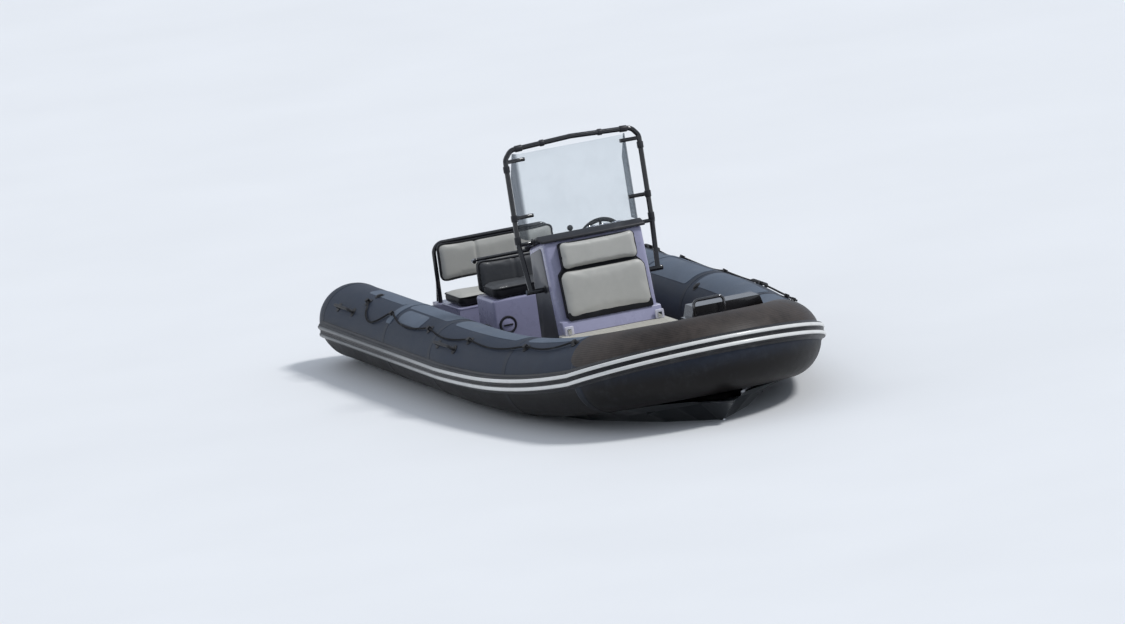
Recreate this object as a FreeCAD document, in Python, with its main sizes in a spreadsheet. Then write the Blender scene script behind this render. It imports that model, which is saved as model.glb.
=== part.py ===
"""Open rigid inflatable boat with a centre console, drawn afloat on its waterline.

Lengths are in millimetres and angles in degrees. X points to the bow, Y to port and Z up.
The origin lies on the waterline, amidships, on the centreline.
"""
import FreeCAD
import Part
import Sketcher
import math
import os
from types import SimpleNamespace
from FreeCAD import Vector

os.makedirs("parts", exist_ok=True)
doc = FreeCAD.newDocument("InflatableBoat")

# Driving sizes: name, value
SIZES = [
    # tube
    ("length_overall", 5200), ("tube_radius", 255), ("tube_spacing", 1800), ("tube_height", 280),
    ("side_arc", 6300), ("bow_turn_angle", 16.8), ("bow_mid_angle", 4), ("bow_end_angle", 9),
    ("stern_cone", 250),
    ("stern_nose_radius", 90), ("stern_swell", 12),
    # rubbing strake
    ("strake_height", 130), ("strake_thick", 26), ("strake_face", 96), ("strake_gap", 0.9),
    ("strake_drop", 4.7),
    ("strake_lift", 24.2), ("rib_height", 26), ("rib_thick", 9), ("rib_offset", 27), ("rib_chamfer", 4),
    # hull and deck
    ("transom_inset", 500), ("keel_depth", 360), ("deck_top", 80), ("deck_thick", 12), ("deck_gap", 8),
    ("floor_inset", 182),
    ("seat_gap", 0.3), ("move_gap", 5), ("transom_thick", 55), ("transom_top", 330), ("transom_gap", 5),
    ("transom_round", 12),
    # console
    ("console_half", 350), ("console_foot_x", 330), ("console_head_x", 195), ("console_head_z", 1000),
    ("console_back_x", -130), ("console_round", 28), ("dash_back_z", 930), ("dash_thick", 14),
    ("dash_lip", 22),
    ("dash_flat", 60),
    # front seat
    ("front_seat_length", 540), ("front_seat_half", 380), ("front_seat_top", 376), ("front_pad_thick", 14),
    ("plinth_half", 352), ("cushion_thick", 72), ("cushion_low_half", 307), ("cushion_high_half", 272),
    ("cushion_low_z", 480), ("cushion_seam_z", 801), ("cushion_high_z", 1000), ("cushion_round", 18),
    ("latch_size", 62), ("latch_thick", 14), ("toe_kick", 50), ("pod_round", 24),
    # windscreen and rail
    ("rail_diameter", 34), ("rail_half", 476), ("rail_foot_half", 451), ("rail_foot_z", 675),
    ("rail_foot_x", 115), ("rail_knee_z", 1000), ("rail_knee_x", 55), ("rail_top_z", 1623),
    ("rail_top_x", 15),
    ("rail_corner_z", 1565),
    ("rail_top_half", 429), ("rail_arch", 20), ("rail_bend", 60), ("screen_half", 400), ("screen_thick", 6),
    ("screen_top_z", 1585), ("screen_corner", 50), ("screen_set_back", 24), ("screen_wing", 150),
    ("screen_wing_drop", 190), ("clamp_diameter", 26), ("clamp_low_z", 990), ("clamp_mid_z", 1170),
    ("clamp_reach", 60),
    # helm
    ("wheel_radius", 165), ("wheel_rim", 15), ("wheel_port", 190), ("wheel_z", 850), ("wheel_offset", 90),
    ("wheel_angle", 20), ("wheel_hub", 34), ("hub_radius", 42), ("helm_shaft", 10), ("spoke_radius", 9),
    ("run_gap", 0.05), ("bezel_depth", 40), ("dial_radius", 42), ("dial_height", 14), ("dial_pitch", 95),
    ("throttle_starboard", 40), ("throttle_size", 60), ("throttle_drop", 100), ("throttle_lever", 170),
    # helm seat
    ("pod_length", 340), ("pod_half", 420), ("pod_top", 500), ("pod_cushion_thick", 90),
    ("helm_back_height", 200), ("helm_back_depth", 90), ("hatch_ring", 62), ("hatch_ring_z", 320),
    ("hatch_ring_y", 330), ("hatch_thick", 12), ("handle_reach", 66), ("handle_drop", 20),
    ("handle_half", 395),
    ("handle_radius", 13),
    # aft bench and engine box, from the transom
    ("bench_front", 620), ("bench_length", 380), ("bench_half", 450), ("box_height", 360), ("box_wall", 12),
    ("lid_thick", 16), ("bench_cushion", 78), ("bench_back_low", 500), ("bench_back_high", 782),
    ("bench_back_half", 435), ("bench_back_thick", 76), ("bench_back", 232), ("post_diameter", 30),
    ("post_bend", 70), ("post_rake", 50), ("post_brace_z", 540), ("post_brace_radius", 12),
    # engine, from the transom
    ("engine_length", 480), ("engine_half", 250), ("engine_low", -150), ("engine_high", 310),
    ("engine_front", 580), ("well_gap", 25),
    # drive, from the transom
    ("drive_axis", 115), ("drive_axis_z", -60), ("shield_half", 165), ("shield_low", -225),
    ("shield_high", 100),
    ("shield_thick", 26), ("shield_round", 30), ("ring_half", 118), ("ring_bar", 18), ("ring_depth", 40),
    ("ring_round", 24), ("ear_thick", 20), ("ear_half", 34), ("pin_radius", 12), ("leg_head", 50),
    ("leg_head_half", 80), ("leg_arm", 120), ("leg_arm_half", 38), ("leg_chord", 190),
    ("leg_cowl_half", 70),
    ("leg_cowl_height", 150), ("leg_cowl_round", 32), ("leg_column_half", 30), ("prop_radius", 178),
    ("prop_axis_z", -470), ("prop_behind", 460), ("prop_hub", 48), ("prop_hub_length", 90),
    ("skeg_low", -680),
    ("skeg_thick", 12), ("plate_z", -262), ("plate_half", 95), ("plate_thick", 8), ("shaft_radius", 16),
    # bow
    ("locker_fore_gap", 200), ("locker_length", 470), ("locker_side_gap", 80), ("locker_top", 480),
    ("locker_wall", 10), ("locker_lid", 30), ("pad_low_angle", 44), ("pad_high_angle", 150),
    ("pad_gap", 0.3),
    ("pad_thick", 3), ("step_top", 560), ("step_fore_gap", 65), ("step_side_gap", 40),
    ("case_fore_gap", -10), ("case_length", 160), ("case_rise", 26), ("case_starboard", -20),
    ("case_port", 440),
    ("case_flare", 50), ("ledge_length", 110), ("ledge_rise", -39), ("ledge_starboard", -90),
    ("ledge_port", 225),
    ("bow_bar_diameter", 20), ("bow_bar_height", 117), ("bow_bar_middle", 67), ("bow_bar_span", 210),
    ("bow_bar_bend", 34), ("eye_radius", 16), ("eye_wire", 6), ("eye_rise", 30), ("eye_root", 30),
    ("stern_eye_y", 480), ("stern_eye_z", 230), ("stern_eye_radius", 12), ("stern_eye_offset", 30),
    # grab lines and handles
    ("rope_radius", 7), ("rope_offset", 13), ("rope_bend", 60), ("lug_base", 32), ("lug_thick", 3),
    ("lug_half", 14),
    ("lug_height", 24), ("lug_length", 30), ("grip_length", 300), ("grip_radius", 11), ("grip_height", 42),
    ("grip_bend", 30),
]


class Length:
    """A number that also knows the expression of the sheet that it came from."""

    def __init__(self, value, text):
        self.value = value
        self.text = text

    @staticmethod
    def of(other):
        return other if isinstance(other, Length) else Length(float(other), repr(float(other)))

    def __add__(self, other):
        other = Length.of(other)
        return Length(self.value + other.value, f"({self.text} + {other.text})")

    def __sub__(self, other):
        other = Length.of(other)
        return Length(self.value - other.value, f"({self.text} - {other.text})")

    def __mul__(self, other):
        other = Length.of(other)
        return Length(self.value * other.value, f"({self.text} * {other.text})")

    def __truediv__(self, other):
        other = Length.of(other)
        return Length(self.value / other.value, f"({self.text} / {other.text})")

    def __radd__(self, other):
        return Length.of(other) + self

    def __rsub__(self, other):
        return Length.of(other) - self

    def __rmul__(self, other):
        return Length.of(other) * self

    def __neg__(self):
        return Length(-self.value, f"(-1 * {self.text})")

    def __float__(self):
        return float(self.value)


sheet = doc.addObject("Spreadsheet::Sheet", "Sizes")
for row, (name, value) in enumerate(SIZES, start=1):
    sheet.set(f"A{row}", name)
    sheet.set(f"B{row}", str(value))
    sheet.setAlias(f"B{row}", name)
doc.recompute()
z = SimpleNamespace(**{name: Length(float(sheet.get(name)), f"Sizes.{name}") for name, _ in SIZES})
n = SimpleNamespace(**{name: float(sheet.get(name)) for name, _ in SIZES})
sub_parts = []


def bind(feature, **values):
    """Binds properties of a feature, such as Length or Placement__Base__x, to lengths of the sheet."""
    for prop, length in values.items():
        feature.setExpression(prop.replace("__", "."), Length.of(length).text)
    return feature


def keep(feature, label):
    """Names a finished sub-part and lists it for export."""
    feature.Label = label
    sub_parts.append(feature)
    return feature


def shaped(label, shape, place=FreeCAD.Placement()):
    """A sub-part whose shape is worked out in code from the sheet's sizes, then put in its place."""
    feature = doc.addObject("Part::Feature", "Shape_" + label)
    feature.Shape = shape
    feature.Placement = place
    return keep(feature, label)


def box(name, length, width, height, x, y, low):
    """A block centred on y whose aft lower edge lies at x and low."""
    block = doc.addObject("Part::Box", name)
    bind(block, Length=length, Width=width, Height=height, Placement__Base__x=x,
         Placement__Base__y=Length.of(y) - Length.of(width) / 2, Placement__Base__z=low)
    return block


def joined(name, kind, *features):
    """A boolean of the kind Cut or Common of two features, or MultiFuse of several."""
    result = doc.addObject("Part::" + kind, name)
    if kind == "MultiFuse":
        result.Shapes = list(features)
    else:
        result.Base, result.Tool = features
    return result


def sketch_on(body, role, name):
    """An empty sketch on one of a body's own origin planes."""
    plane = [f for f in body.Origin.OriginFeatures if f.Role == role][0]
    sketch = body.newObject("Sketcher::SketchObject", name)
    sketch.AttachmentSupport = [(plane, "")]
    sketch.MapMode = "FlatFace"
    return sketch


def polygon(sketch, corners):
    """A closed polygon in a sketch, each corner tied to its two lengths."""
    count = len(corners)
    pairs = [(Length.of(u), Length.of(v)) for u, v in corners]
    first = sketch.GeometryCount
    for i in range(count):
        (u0, v0), (u1, v1) = pairs[i], pairs[(i + 1) % count]
        line = Part.LineSegment(Vector(float(u0), float(v0), 0), Vector(float(u1), float(v1), 0))
        sketch.addGeometry(line, False)
    for i in range(count):
        before = first + (i - 1) % count
        sketch.addConstraint(Sketcher.Constraint("Coincident", before, 2, first + i, 1))
        for kind, length in (("DistanceX", pairs[i][0]), ("DistanceY", pairs[i][1])):
            index = sketch.addConstraint(Sketcher.Constraint(kind, first + i, 1, float(length)))
            sketch.setExpression(f"Constraints[{index}]", length.text)


def padded(label, role, corners, depth, shift=None, rounded=None, radius=0, hole=None):
    """A body: a polygon padded both ways from its plane, its chosen edges rounded, and a hole cut."""
    body = doc.addObject("PartDesign::Body", "Body_" + label)
    sketch = sketch_on(body, role, label + "_outline")
    polygon(sketch, corners)
    if hole:
        polygon(sketch, hole)
    pad = body.newObject("PartDesign::Pad", label + "_pad")
    pad.Profile = sketch
    pad.Midplane = True
    bind(pad, Length=depth)
    doc.recompute()
    if rounded:
        edges = [f"Edge{i + 1}" for i, edge in enumerate(pad.Shape.Edges) if rounded(edge)]
        fillet = body.newObject("PartDesign::Fillet", label + "_rounding")
        fillet.Base = (pad, edges)
        bind(fillet, Radius=radius)
    if shift is not None:
        axis = {"XZ_Plane": "y", "XY_Plane": "z", "YZ_Plane": "x"}[role]
        body.setExpression(f"Placement.Base.{axis}", Length.of(shift).text)
    doc.recompute()
    return keep(body, label)


def along(direction):
    """A test for straight edges that run along a direction."""
    def test(edge):
        if edge.Curve.TypeId != "Part::GeomLine":
            return False
        return abs(edge.Curve.Direction.dot(direction)) > 0.999
    return test


def any_edge(edge):
    """A test that every edge passes."""
    return True


AHEAD = Vector(1, 0, 0)
PORT = Vector(0, 1, 0)
UP = Vector(0, 0, 1)


def mirrored(shape):
    """The port twin of a starboard shape."""
    return shape.mirror(Vector(0, 0, 0), PORT)


def rod(points, radius, bend):
    """A round bar along straight runs whose corners are arcs of one bend radius."""
    edges = []
    start = points[0]
    for i in range(1, len(points) - 1):
        into = (points[i] - points[i - 1]).normalize()
        away = (points[i + 1] - points[i]).normalize()
        turn = math.acos(max(-1.0, min(1.0, into.dot(away))))
        back = bend * math.tan(turn / 2)
        first = points[i] - into * back
        last = points[i] + away * back
        inward = (away - into).normalize()
        middle = points[i] + inward * (bend / math.cos(turn / 2) - bend)
        edges.append(Part.LineSegment(start, first).toShape())
        edges.append(Part.Arc(first, middle, last).toShape())
        start = last
    edges.append(Part.LineSegment(start, points[-1]).toShape())
    path = Part.Wire(edges)
    ring = Part.Wire([Part.makeCircle(radius, points[0], (points[1] - points[0]).normalize())])
    return path.makePipeShell([ring], True, False)


def bar(start, end, radius):
    """A straight round bar."""
    return Part.makeCylinder(radius, (end - start).Length, start, end - start)


class TubePath:
    """Centreline of the starboard tube: a straight side, then arcs that turn inward and lift to the bow.

    Each arc joins two headings given as a plan turn and a slope, so the line has no kinks.
    """

    def __init__(self):
        turn = n.bow_turn_angle
        # columns: plan turn, slope, at the end of each arc, in degrees
        headings = [(0, 0), (turn * 0.34, 0), (turn * 0.67, n.bow_mid_angle), (turn, n.bow_end_angle)]
        front = self.heading(90, n.bow_end_angle)
        self.segments = []
        point = Vector(0, -n.tube_spacing / 2, n.tube_height)
        for (turn_a, slope_a), (turn_b, slope_b) in zip(headings, headings[1:]):
            run = n.side_arc * math.radians(turn_b - turn_a)
            point = self.arc(point, self.heading(turn_a, slope_a), self.heading(turn_b, slope_b), run)
        last = self.heading(turn, n.bow_end_angle)
        radius = -point.y / math.cos(math.radians(turn))
        point = self.arc(point, last, front, radius * last.getAngle(front))
        shift = AHEAD * (n.length_overall / 2 - n.tube_radius - point.x)
        for segment in self.segments:
            segment["start"] = segment["start"] + shift
            segment["centre"] = segment["centre"] + shift
        self.side_end = self.segments[0]["start"]
        self.stern = Vector(-n.length_overall / 2 + n.stern_cone, self.side_end.y, self.side_end.z)

    @staticmethod
    def heading(turn, slope):
        a, b = math.radians(turn), math.radians(slope)
        return Vector(math.cos(a) * math.cos(b), math.sin(a), math.cos(a) * math.sin(b))

    def arc(self, point, heading, new_heading, run):
        angle = heading.getAngle(new_heading)
        axis = heading.cross(new_heading).normalize()
        centre = point + axis.cross(heading) * (run / angle)
        self.segments.append({"start": point, "centre": centre, "axis": axis, "angle": angle,
                              "heading": heading, "run": run})
        return centre + FreeCAD.Rotation(axis, math.degrees(angle)).multVec(point - centre)

    def at(self, index, share):
        """Point and heading on arc number index, at a share of its length."""
        arc = self.segments[index]
        turn = FreeCAD.Rotation(arc["axis"], math.degrees(arc["angle"]) * share)
        return arc["centre"] + turn.multVec(arc["start"] - arc["centre"]), turn.multVec(arc["heading"])

    def stations(self, step, aft):
        """Points and headings from the tube's side at x = aft to the middle of the bow."""
        out = [(Vector(aft, self.side_end.y, self.side_end.z), AHEAD)]
        for index, arc in enumerate(self.segments):
            radius = arc["run"] / arc["angle"]
            count = max(1, math.ceil(arc["angle"] / (2 * math.acos(1 - step / (radius + n.tube_radius)))))
            out += [self.at(index, i / count) for i in range(count)]
        return out + [self.at(len(self.segments) - 1, 1.0)]

    def place(self, distance):
        """Point, heading, outward and upward directions at a distance from the stern cone's joint."""
        run = self.side_end.x - self.stern.x
        point, heading = self.stern + AHEAD * distance, AHEAD
        if distance > run:
            index, rest = 0, distance - run
            while rest > self.segments[index]["run"] and index < len(self.segments) - 1:
                rest -= self.segments[index]["run"]
                index += 1
            point, heading = self.at(index, rest / self.segments[index]["run"])
        out = outward(heading)
        return point, heading, out, out.cross(heading)

    def on(self, distance, angle, radius):
        """Point at a distance along the tube, an angle above its outer side and a radius from its
        middle."""
        point, heading, out, lift = self.place(distance)
        a = math.radians(angle)
        return point + out * (radius * math.cos(a)) + lift * (radius * math.sin(a))

    def half_length(self):
        """Distance from the stern cone's joint to the middle of the bow."""
        return self.side_end.x - self.stern.x + sum(segment["run"] for segment in self.segments)

    def sweep(self, face, aft):
        """Solids of a face carried exactly along the path from x = aft; the face is drawn at aft."""
        end = self.side_end.x
        solids = [face.extrude(AHEAD * (end - aft))]
        face = face.translated(AHEAD * (end - aft))
        for arc in self.segments:
            degrees = math.degrees(arc["angle"])
            solids.append(face.revolve(arc["centre"], arc["axis"], degrees))
            face = face.rotated(arc["centre"], arc["axis"], degrees)
        return solids

    def over(self, x):
        """Height and half breadth of the centreline at a station x."""
        if x <= self.side_end.x:
            return self.side_end.z, -self.side_end.y
        for index in range(len(self.segments)):
            low, high = self.at(index, 0)[0].x, self.at(index, 1)[0].x
            if x <= high or index == len(self.segments) - 1:
                share = 0.5
                for step in range(2, 24):
                    point = self.at(index, share)[0]
                    share += (1 if point.x < x else -1) / 2 ** step
                return point.z, -point.y


def outward(heading):
    """The level direction that points out of the boat across a heading."""
    return heading.cross(UP).normalize()


path = TubePath()
bow_x = n.length_overall / 2
bow_line = path.place(path.half_length())[0].z
crown = bow_line + n.tube_radius + n.pad_gap + n.pad_thick
# the hull's and the deck's tables hold lengths of a boat 5200 long with a tube of radius 255
along_ship = n.length_overall / 5200
across_ship = n.tube_radius / 255
transom = z.transom_inset - z.length_overall / 2
transom_x = float(transom)


def inner_half(x, gap):
    """Half of the room between the tubes at a station, less a gap at each side."""
    low, high = 0, path.half_length()
    while high - low > 0.1:
        middle = (low + high) / 2
        point, heading, out, lift = path.place(middle)
        edge = point - out * n.tube_radius
        low, high = (middle, high) if edge.x < x else (low, middle)
    return abs(edge.y) - gap


def nose_gap(distance):
    """Station at a distance aft of the tube's inner nose."""
    return path.place(path.half_length())[0].x - n.tube_radius - distance


def strake_angle(heading):
    """Height of the strake round the tube: just under the middle at the sides, well above it at the bow."""
    share = outward(heading).x
    return -n.strake_drop + (n.strake_lift + n.strake_drop) * share


def strip_section(point, heading, angle, inner, outer, foot, face):
    """A strip's section on the tube: an arc that follows the tube, and a flat face that is narrower."""
    out = outward(heading)
    lift = out.cross(heading)
    a = math.radians(angle)
    normal = out * math.cos(a) + lift * math.sin(a)
    side = lift * math.cos(a) - out * math.sin(a)
    reach = math.sqrt(inner ** 2 - (foot / 2) ** 2)
    low = point + normal * reach - side * (foot / 2)
    high = point + normal * reach + side * (foot / 2)
    back = Part.Arc(low, point + normal * inner, high).toShape()
    top = point + normal * outer + side * (face / 2)
    bottom = point + normal * outer - side * (face / 2)
    edges = [back, Part.LineSegment(high, top).toShape(), Part.LineSegment(top, bottom).toShape(),
             Part.LineSegment(bottom, low).toShape()]
    return Part.Wire(edges)


def bar_section(point, heading, angle, radius, shift, height, thick):
    """A light rib's section: a block on the strake's flat face."""
    out = outward(heading)
    lift = out.cross(heading)
    a = math.radians(angle)
    normal = out * math.cos(a) + lift * math.sin(a)
    side = lift * math.cos(a) - out * math.sin(a)
    base = point + normal * radius + side * shift
    narrow = height / 2 - n.rib_chamfer
    corners = [base - side * (height / 2), base + side * (height / 2),
               base + side * narrow + normal * thick,
               base - side * narrow + normal * thick]
    return Part.makePolygon(corners + [corners[0]])


def ruled(sections):
    """A solid through sections, with straight lines between them."""
    solid = Part.makeLoft(sections, True, True)
    return solid if solid.Volume > 0 else solid.reversed()


# Inflated collar: two straight sides, arcs round the bow and a rounded cone at each stern end

def tube_collar():
    disc = Part.Face(Part.Wire([Part.makeCircle(n.tube_radius, path.stern, AHEAD)]))
    solids = path.sweep(disc, path.stern.x)
    tip = n.length_overall / -2
    shoulder = (n.tube_radius + n.stern_nose_radius) / 2
    profile = [Vector(path.stern.x, 0, 0), Vector(path.stern.x, n.tube_radius, 0),
               Vector(path.stern.x - n.stern_cone * 0.75, shoulder + 2 * n.stern_swell, 0),
               Vector(tip, n.stern_nose_radius, 0),
               Vector(tip, 0, 0)]
    edges = [Part.LineSegment(profile[0], profile[1]).toShape(),
             Part.Arc(profile[1], profile[1] + (profile[2] - profile[1]) * 0.5 + Vector(-n.stern_swell,
                                                                                        2 * n.stern_swell,
                                                                                        0),
                      profile[2]).toShape(),
             Part.Arc(profile[2], (profile[2] + profile[3]) * 0.5 + Vector(-n.stern_swell, n.stern_swell,
                                                                           0),
                      profile[3]).toShape(),
             Part.LineSegment(profile[3], profile[4]).toShape(),
             Part.LineSegment(profile[4], profile[0]).toShape()]
    cone = Part.Face(Part.Wire(edges)).revolve(Vector(0, 0, 0), AHEAD, 360)
    cone.translate(Vector(0, path.stern.y, path.stern.z))
    half = solids + [cone]
    whole = half[0].multiFuse(half[1:] + [mirrored(s) for s in half])
    shaped("tube_collar", whole)


def full_round(sections_of):
    """A ruled solid from the starboard stern round the bow to the port stern."""
    places = path.stations(n.strake_gap, path.stern.x)
    starboard = [sections_of(point, heading) for point, heading in places]
    port = [mirrored(wire) for wire in starboard[-2::-1]]
    first = ruled(starboard)
    second = ruled([starboard[-1]] + port)
    return first.fuse(second).removeSplitter()


def rubbing_strake():
    inner = n.tube_radius + n.strake_gap + n.seat_gap / 3
    outer = n.tube_radius + n.strake_thick
    shaped("rubbing_strake", full_round(lambda p, t: strip_section(
        p, t, strake_angle(t), inner, outer, n.strake_height, n.strake_face)))
    ribs = [full_round(lambda p, t, side=side: bar_section(
        p, t, strake_angle(t), outer + n.seat_gap, side * n.rib_offset, n.rib_height, n.rib_thick))
        for side in (-1, 1)]
    shaped("strake_ribs", Part.makeCompound(ribs))


# Hull: straight lines between sections; the top edge runs just under the tube

# the last two sections: distance from the bow, and pairs of half breadth and height from the tube line
STEM_FOOT = (300, [(0, -467), (130, -313), (190, -291), (120, -288), (70, -288)])
STEM_HEAD = (60, [(0, -309), (14, -301), (16, -291), (12, -289), (6, -289)])


def hull_section(from_bow, keel_rise, chine_in, chine_z, edge_in, edge_z, wall_in, wall_z, floor_in,
                 floor_rise):
    """One section: its offsets grow with the tube, and its edge and wall hang from the tube line."""
    x = bow_x - from_bow * along_ship
    line, half = path.over(x)
    k = across_ship
    points = [(0, k * keel_rise - n.keel_depth), (half - k * chine_in, k * chine_z),
              (half - k * edge_in, line + k * edge_z), (half - k * wall_in, line + k * wall_z),
              (half - k * floor_in, n.deck_top - n.deck_thick + k * floor_rise)]
    full = points + [(-y, h) for y, h in points[:0:-1]]
    return Part.makePolygon([Vector(x, y, h) for y, h in full + full[:1]])


def stem_section(from_bow, points):
    """One section of the stem, hung from the tube line at the bow."""
    full = points + [(-y, h) for y, h in points[:0:-1]]
    x = bow_x - from_bow * along_ship
    corners = [(y * across_ship, bow_line + h * across_ship) for y, h in full + full[:1]]
    return Part.makePolygon([Vector(x, y, h) for y, h in corners])


def hull():
    # columns: distance from the bow, keel's rise, chine inside the tube line, chine height, edge inside and
    #          below the tube line, wall inside and below it, floor edge inside it, floor's rise
    stations = [
        ((bow_x - transom_x) / along_ship, 0, 115, -60, 122, -226, 146, -212, 182, 0),
        (2600, 0, 110, -55, 122, -226, 146, -212, 182, 0),
        (1900, 0, 118, -45, 120, -227, 146, -212, 182, 0),
        (1500, 8, 128, -28, 114, -232, 146, -214, 182, 0),
        (1150, 38, 145, 0, 100, -240, 148, -216, 186, 0),
        (850, 92, 160, 38, 70, -252, 150, -222, 192, 0),
        (590, 147, 170, 82, 30, -262, 130, -240, 172, 0),
        (400, 268, 150, 112, 14, -264, 96, -256, 150, 72),
    ]
    sections = [hull_section(*row) for row in stations]
    sections += [stem_section(*STEM_FOOT), stem_section(*STEM_HEAD)]
    shell = doc.addObject("Part::Feature", "HullLoft")
    shell.Shape = ruled(sections)
    shell.Placement = FreeCAD.Placement()
    well = box("EngineWell", z.engine_length + 2 * z.well_gap, 2 * (z.engine_half + z.well_gap),
               z.deck_top - z.engine_low + z.seat_gap,
               engine_aft() - z.well_gap, 0, z.engine_low - z.seat_gap)
    keep(joined("HullWithWell", "Cut", shell, well), "hull")


# the deck's edge draws in by a share of the way forward of a distance from the bow
DECK_TAPER, DECK_NARROWING = 1500, 0.03


def engine_aft():
    """Station of the engine's aft face."""
    return transom + z.engine_front - z.engine_length


def deck_and_transom():
    """The cockpit floor with its opening over the engine, and the low wall across the stern."""
    from_bow = (2600, 1900, 1500, 1200, 900, 590)
    stations = [transom_x + n.transom_thick + n.seat_gap] + [bow_x - d * along_ship for d in from_bow]
    low_angle = math.asin((n.tube_height - n.deck_top) / n.tube_radius)
    inside = max(n.tube_radius * math.cos(low_angle), n.floor_inset) + n.deck_gap
    edge = []
    for x in stations:
        forward = max(0, x - bow_x + DECK_TAPER * along_ship)
        edge.append((x, path.over(x)[1] - inside - forward * DECK_NARROWING))
    corners = [(x, -y) for x, y in edge] + [(x, y) for x, y in reversed(edge)]
    inner_aft = engine_aft() - z.well_gap
    inner_fore = transom + z.engine_front + z.well_gap
    well_half = z.engine_half + z.well_gap
    hole = [(inner_aft, -well_half), (inner_fore, -well_half), (inner_fore, well_half),
            (inner_aft, well_half)]
    padded("deck", "XY_Plane", corners, z.deck_thick - 2 * z.seat_gap, shift=z.deck_top - z.deck_thick / 2,
           hole=hole)
    low = z.deck_top - z.deck_thick + z.seat_gap
    half = z.tube_spacing / 2 - z.tube_radius - z.transom_gap
    foot = half + z.tube_radius / 3
    wall = [(-foot, low), (foot, low), (half + 2 * z.transom_gap, low + z.tube_radius / 2),
            (half, z.transom_top),
            (-half, z.transom_top), (-half - 2 * z.transom_gap, low + z.tube_radius / 2)]
    padded("transom_wall", "YZ_Plane", wall, z.transom_thick, shift=transom + z.transom_thick / 2,
           rounded=along(PORT), radius=z.transom_round)


# Console: a raked pod with a dark dash, two cushions on its face and a seat box before it

def across(edge):
    """A test for straight edges that don't run across the boat."""
    return edge.Curve.TypeId == "Part::GeomLine" and abs(edge.Curve.Direction.dot(PORT)) < 0.01


face_slope = (z.console_foot_x - z.console_head_x) / (z.console_head_z - z.front_seat_top)


def face_x(height):
    """Station of the console's raked face at a height."""
    return z.console_foot_x - face_slope * (height - z.front_seat_top)


def console():
    gap = z.seat_gap
    low = z.deck_top + gap
    side = [(z.console_back_x, low), (z.console_foot_x, low), (z.console_foot_x, z.front_seat_top),
            (z.console_head_x, z.console_head_z), (z.console_head_x - z.dash_flat, z.console_head_z),
            (z.console_back_x, z.dash_back_z)]
    padded("console", "XZ_Plane", side, 2 * z.console_half, rounded=across, radius=z.console_round)
    top, back = z.console_head_z + gap, z.dash_back_z + gap
    flat = z.console_head_x - z.dash_flat
    dash = [(z.console_back_x - z.dash_lip, back - z.dash_thick),
            (z.console_back_x - gap, back - z.dash_thick),
            (z.console_back_x - gap, back), (flat, top), (z.console_head_x, top),
            (z.console_head_x + z.dash_lip, top - z.dash_thick / 2),
            (z.console_head_x + z.dash_lip, top + z.dash_thick),
            (flat, top + z.dash_thick + z.dash_lip), (z.console_back_x - z.dash_lip, back + z.dash_thick)]
    padded("dash", "XZ_Plane", dash, 2 * (z.console_half + z.dash_lip))
    cushions = [("console_cushion_low", z.cushion_low_half, z.cushion_low_z, z.cushion_seam_z),
                ("console_cushion_high", z.cushion_high_half, z.cushion_seam_z + gap,
                 z.cushion_high_z - z.dash_thick)]
    for label, half, low, high in cushions:
        pad = [(face_x(low) + gap, low), (face_x(low) + z.cushion_thick, low),
               (face_x(high) + z.cushion_thick, high), (face_x(high) + gap, high)]
        padded(label, "XZ_Plane", pad, 2 * half, rounded=any_edge, radius=z.cushion_round)


def dash_height(x):
    """Height of the dash's sloping top at a station, from its aft lip to its ridge."""
    back, ridge = n.console_back_x - n.dash_lip, n.console_head_x - n.dash_flat
    low = n.dash_back_z + n.seat_gap + n.dash_thick
    high = n.console_head_z + n.seat_gap + n.dash_thick + n.dash_lip
    return low + (high - low) * (x - back) / (ridge - back)


def front_seat():
    gap = z.seat_gap
    aft, fore = z.console_foot_x + gap, z.console_foot_x + gap + z.front_seat_length
    low = z.deck_top + gap
    side = [(aft, low), (fore - z.toe_kick, low), (fore - z.toe_kick, low + z.toe_kick),
            (fore, low + 2 * z.toe_kick),
            (fore, z.front_seat_top), (aft, z.front_seat_top)]
    padded("front_seat_box", "XZ_Plane", side, 2 * z.front_seat_half, rounded=across, radius=z.pod_round)
    pad_low = z.front_seat_top + gap
    pad = [(aft, -z.front_seat_half), (fore, -z.front_seat_half), (fore, z.front_seat_half),
           (aft, z.front_seat_half)]
    padded("front_seat_pad", "XY_Plane", pad, z.front_pad_thick, shift=pad_low + z.front_pad_thick / 2,
           rounded=along(UP), radius=z.pod_round)
    foot = pad_low + z.front_pad_thick + gap
    top = z.cushion_low_z - gap
    plinth = [(face_x(foot) + gap, foot), (face_x(foot) + z.cushion_thick, foot),
              (face_x(top) + z.cushion_thick - z.dash_thick, top), (face_x(top) + gap, top)]
    padded("front_seat_plinth", "XZ_Plane", plinth, 2 * z.plinth_half)
    blocks = []
    for side in (-1, 1):
        block = box(f"Latch{side + 1}", z.latch_thick, z.latch_size, z.latch_size,
                    face_x(foot) + z.cushion_thick + gap,
                    side * (z.plinth_half - z.latch_size / 2), foot)
        blocks.append(block)
    keep(joined("Latches", "MultiFuse", *blocks), "front_seat_latches")


# Windscreen: a clear pane with a wing at each side, held by clamps of a bent rail outside the console

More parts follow.
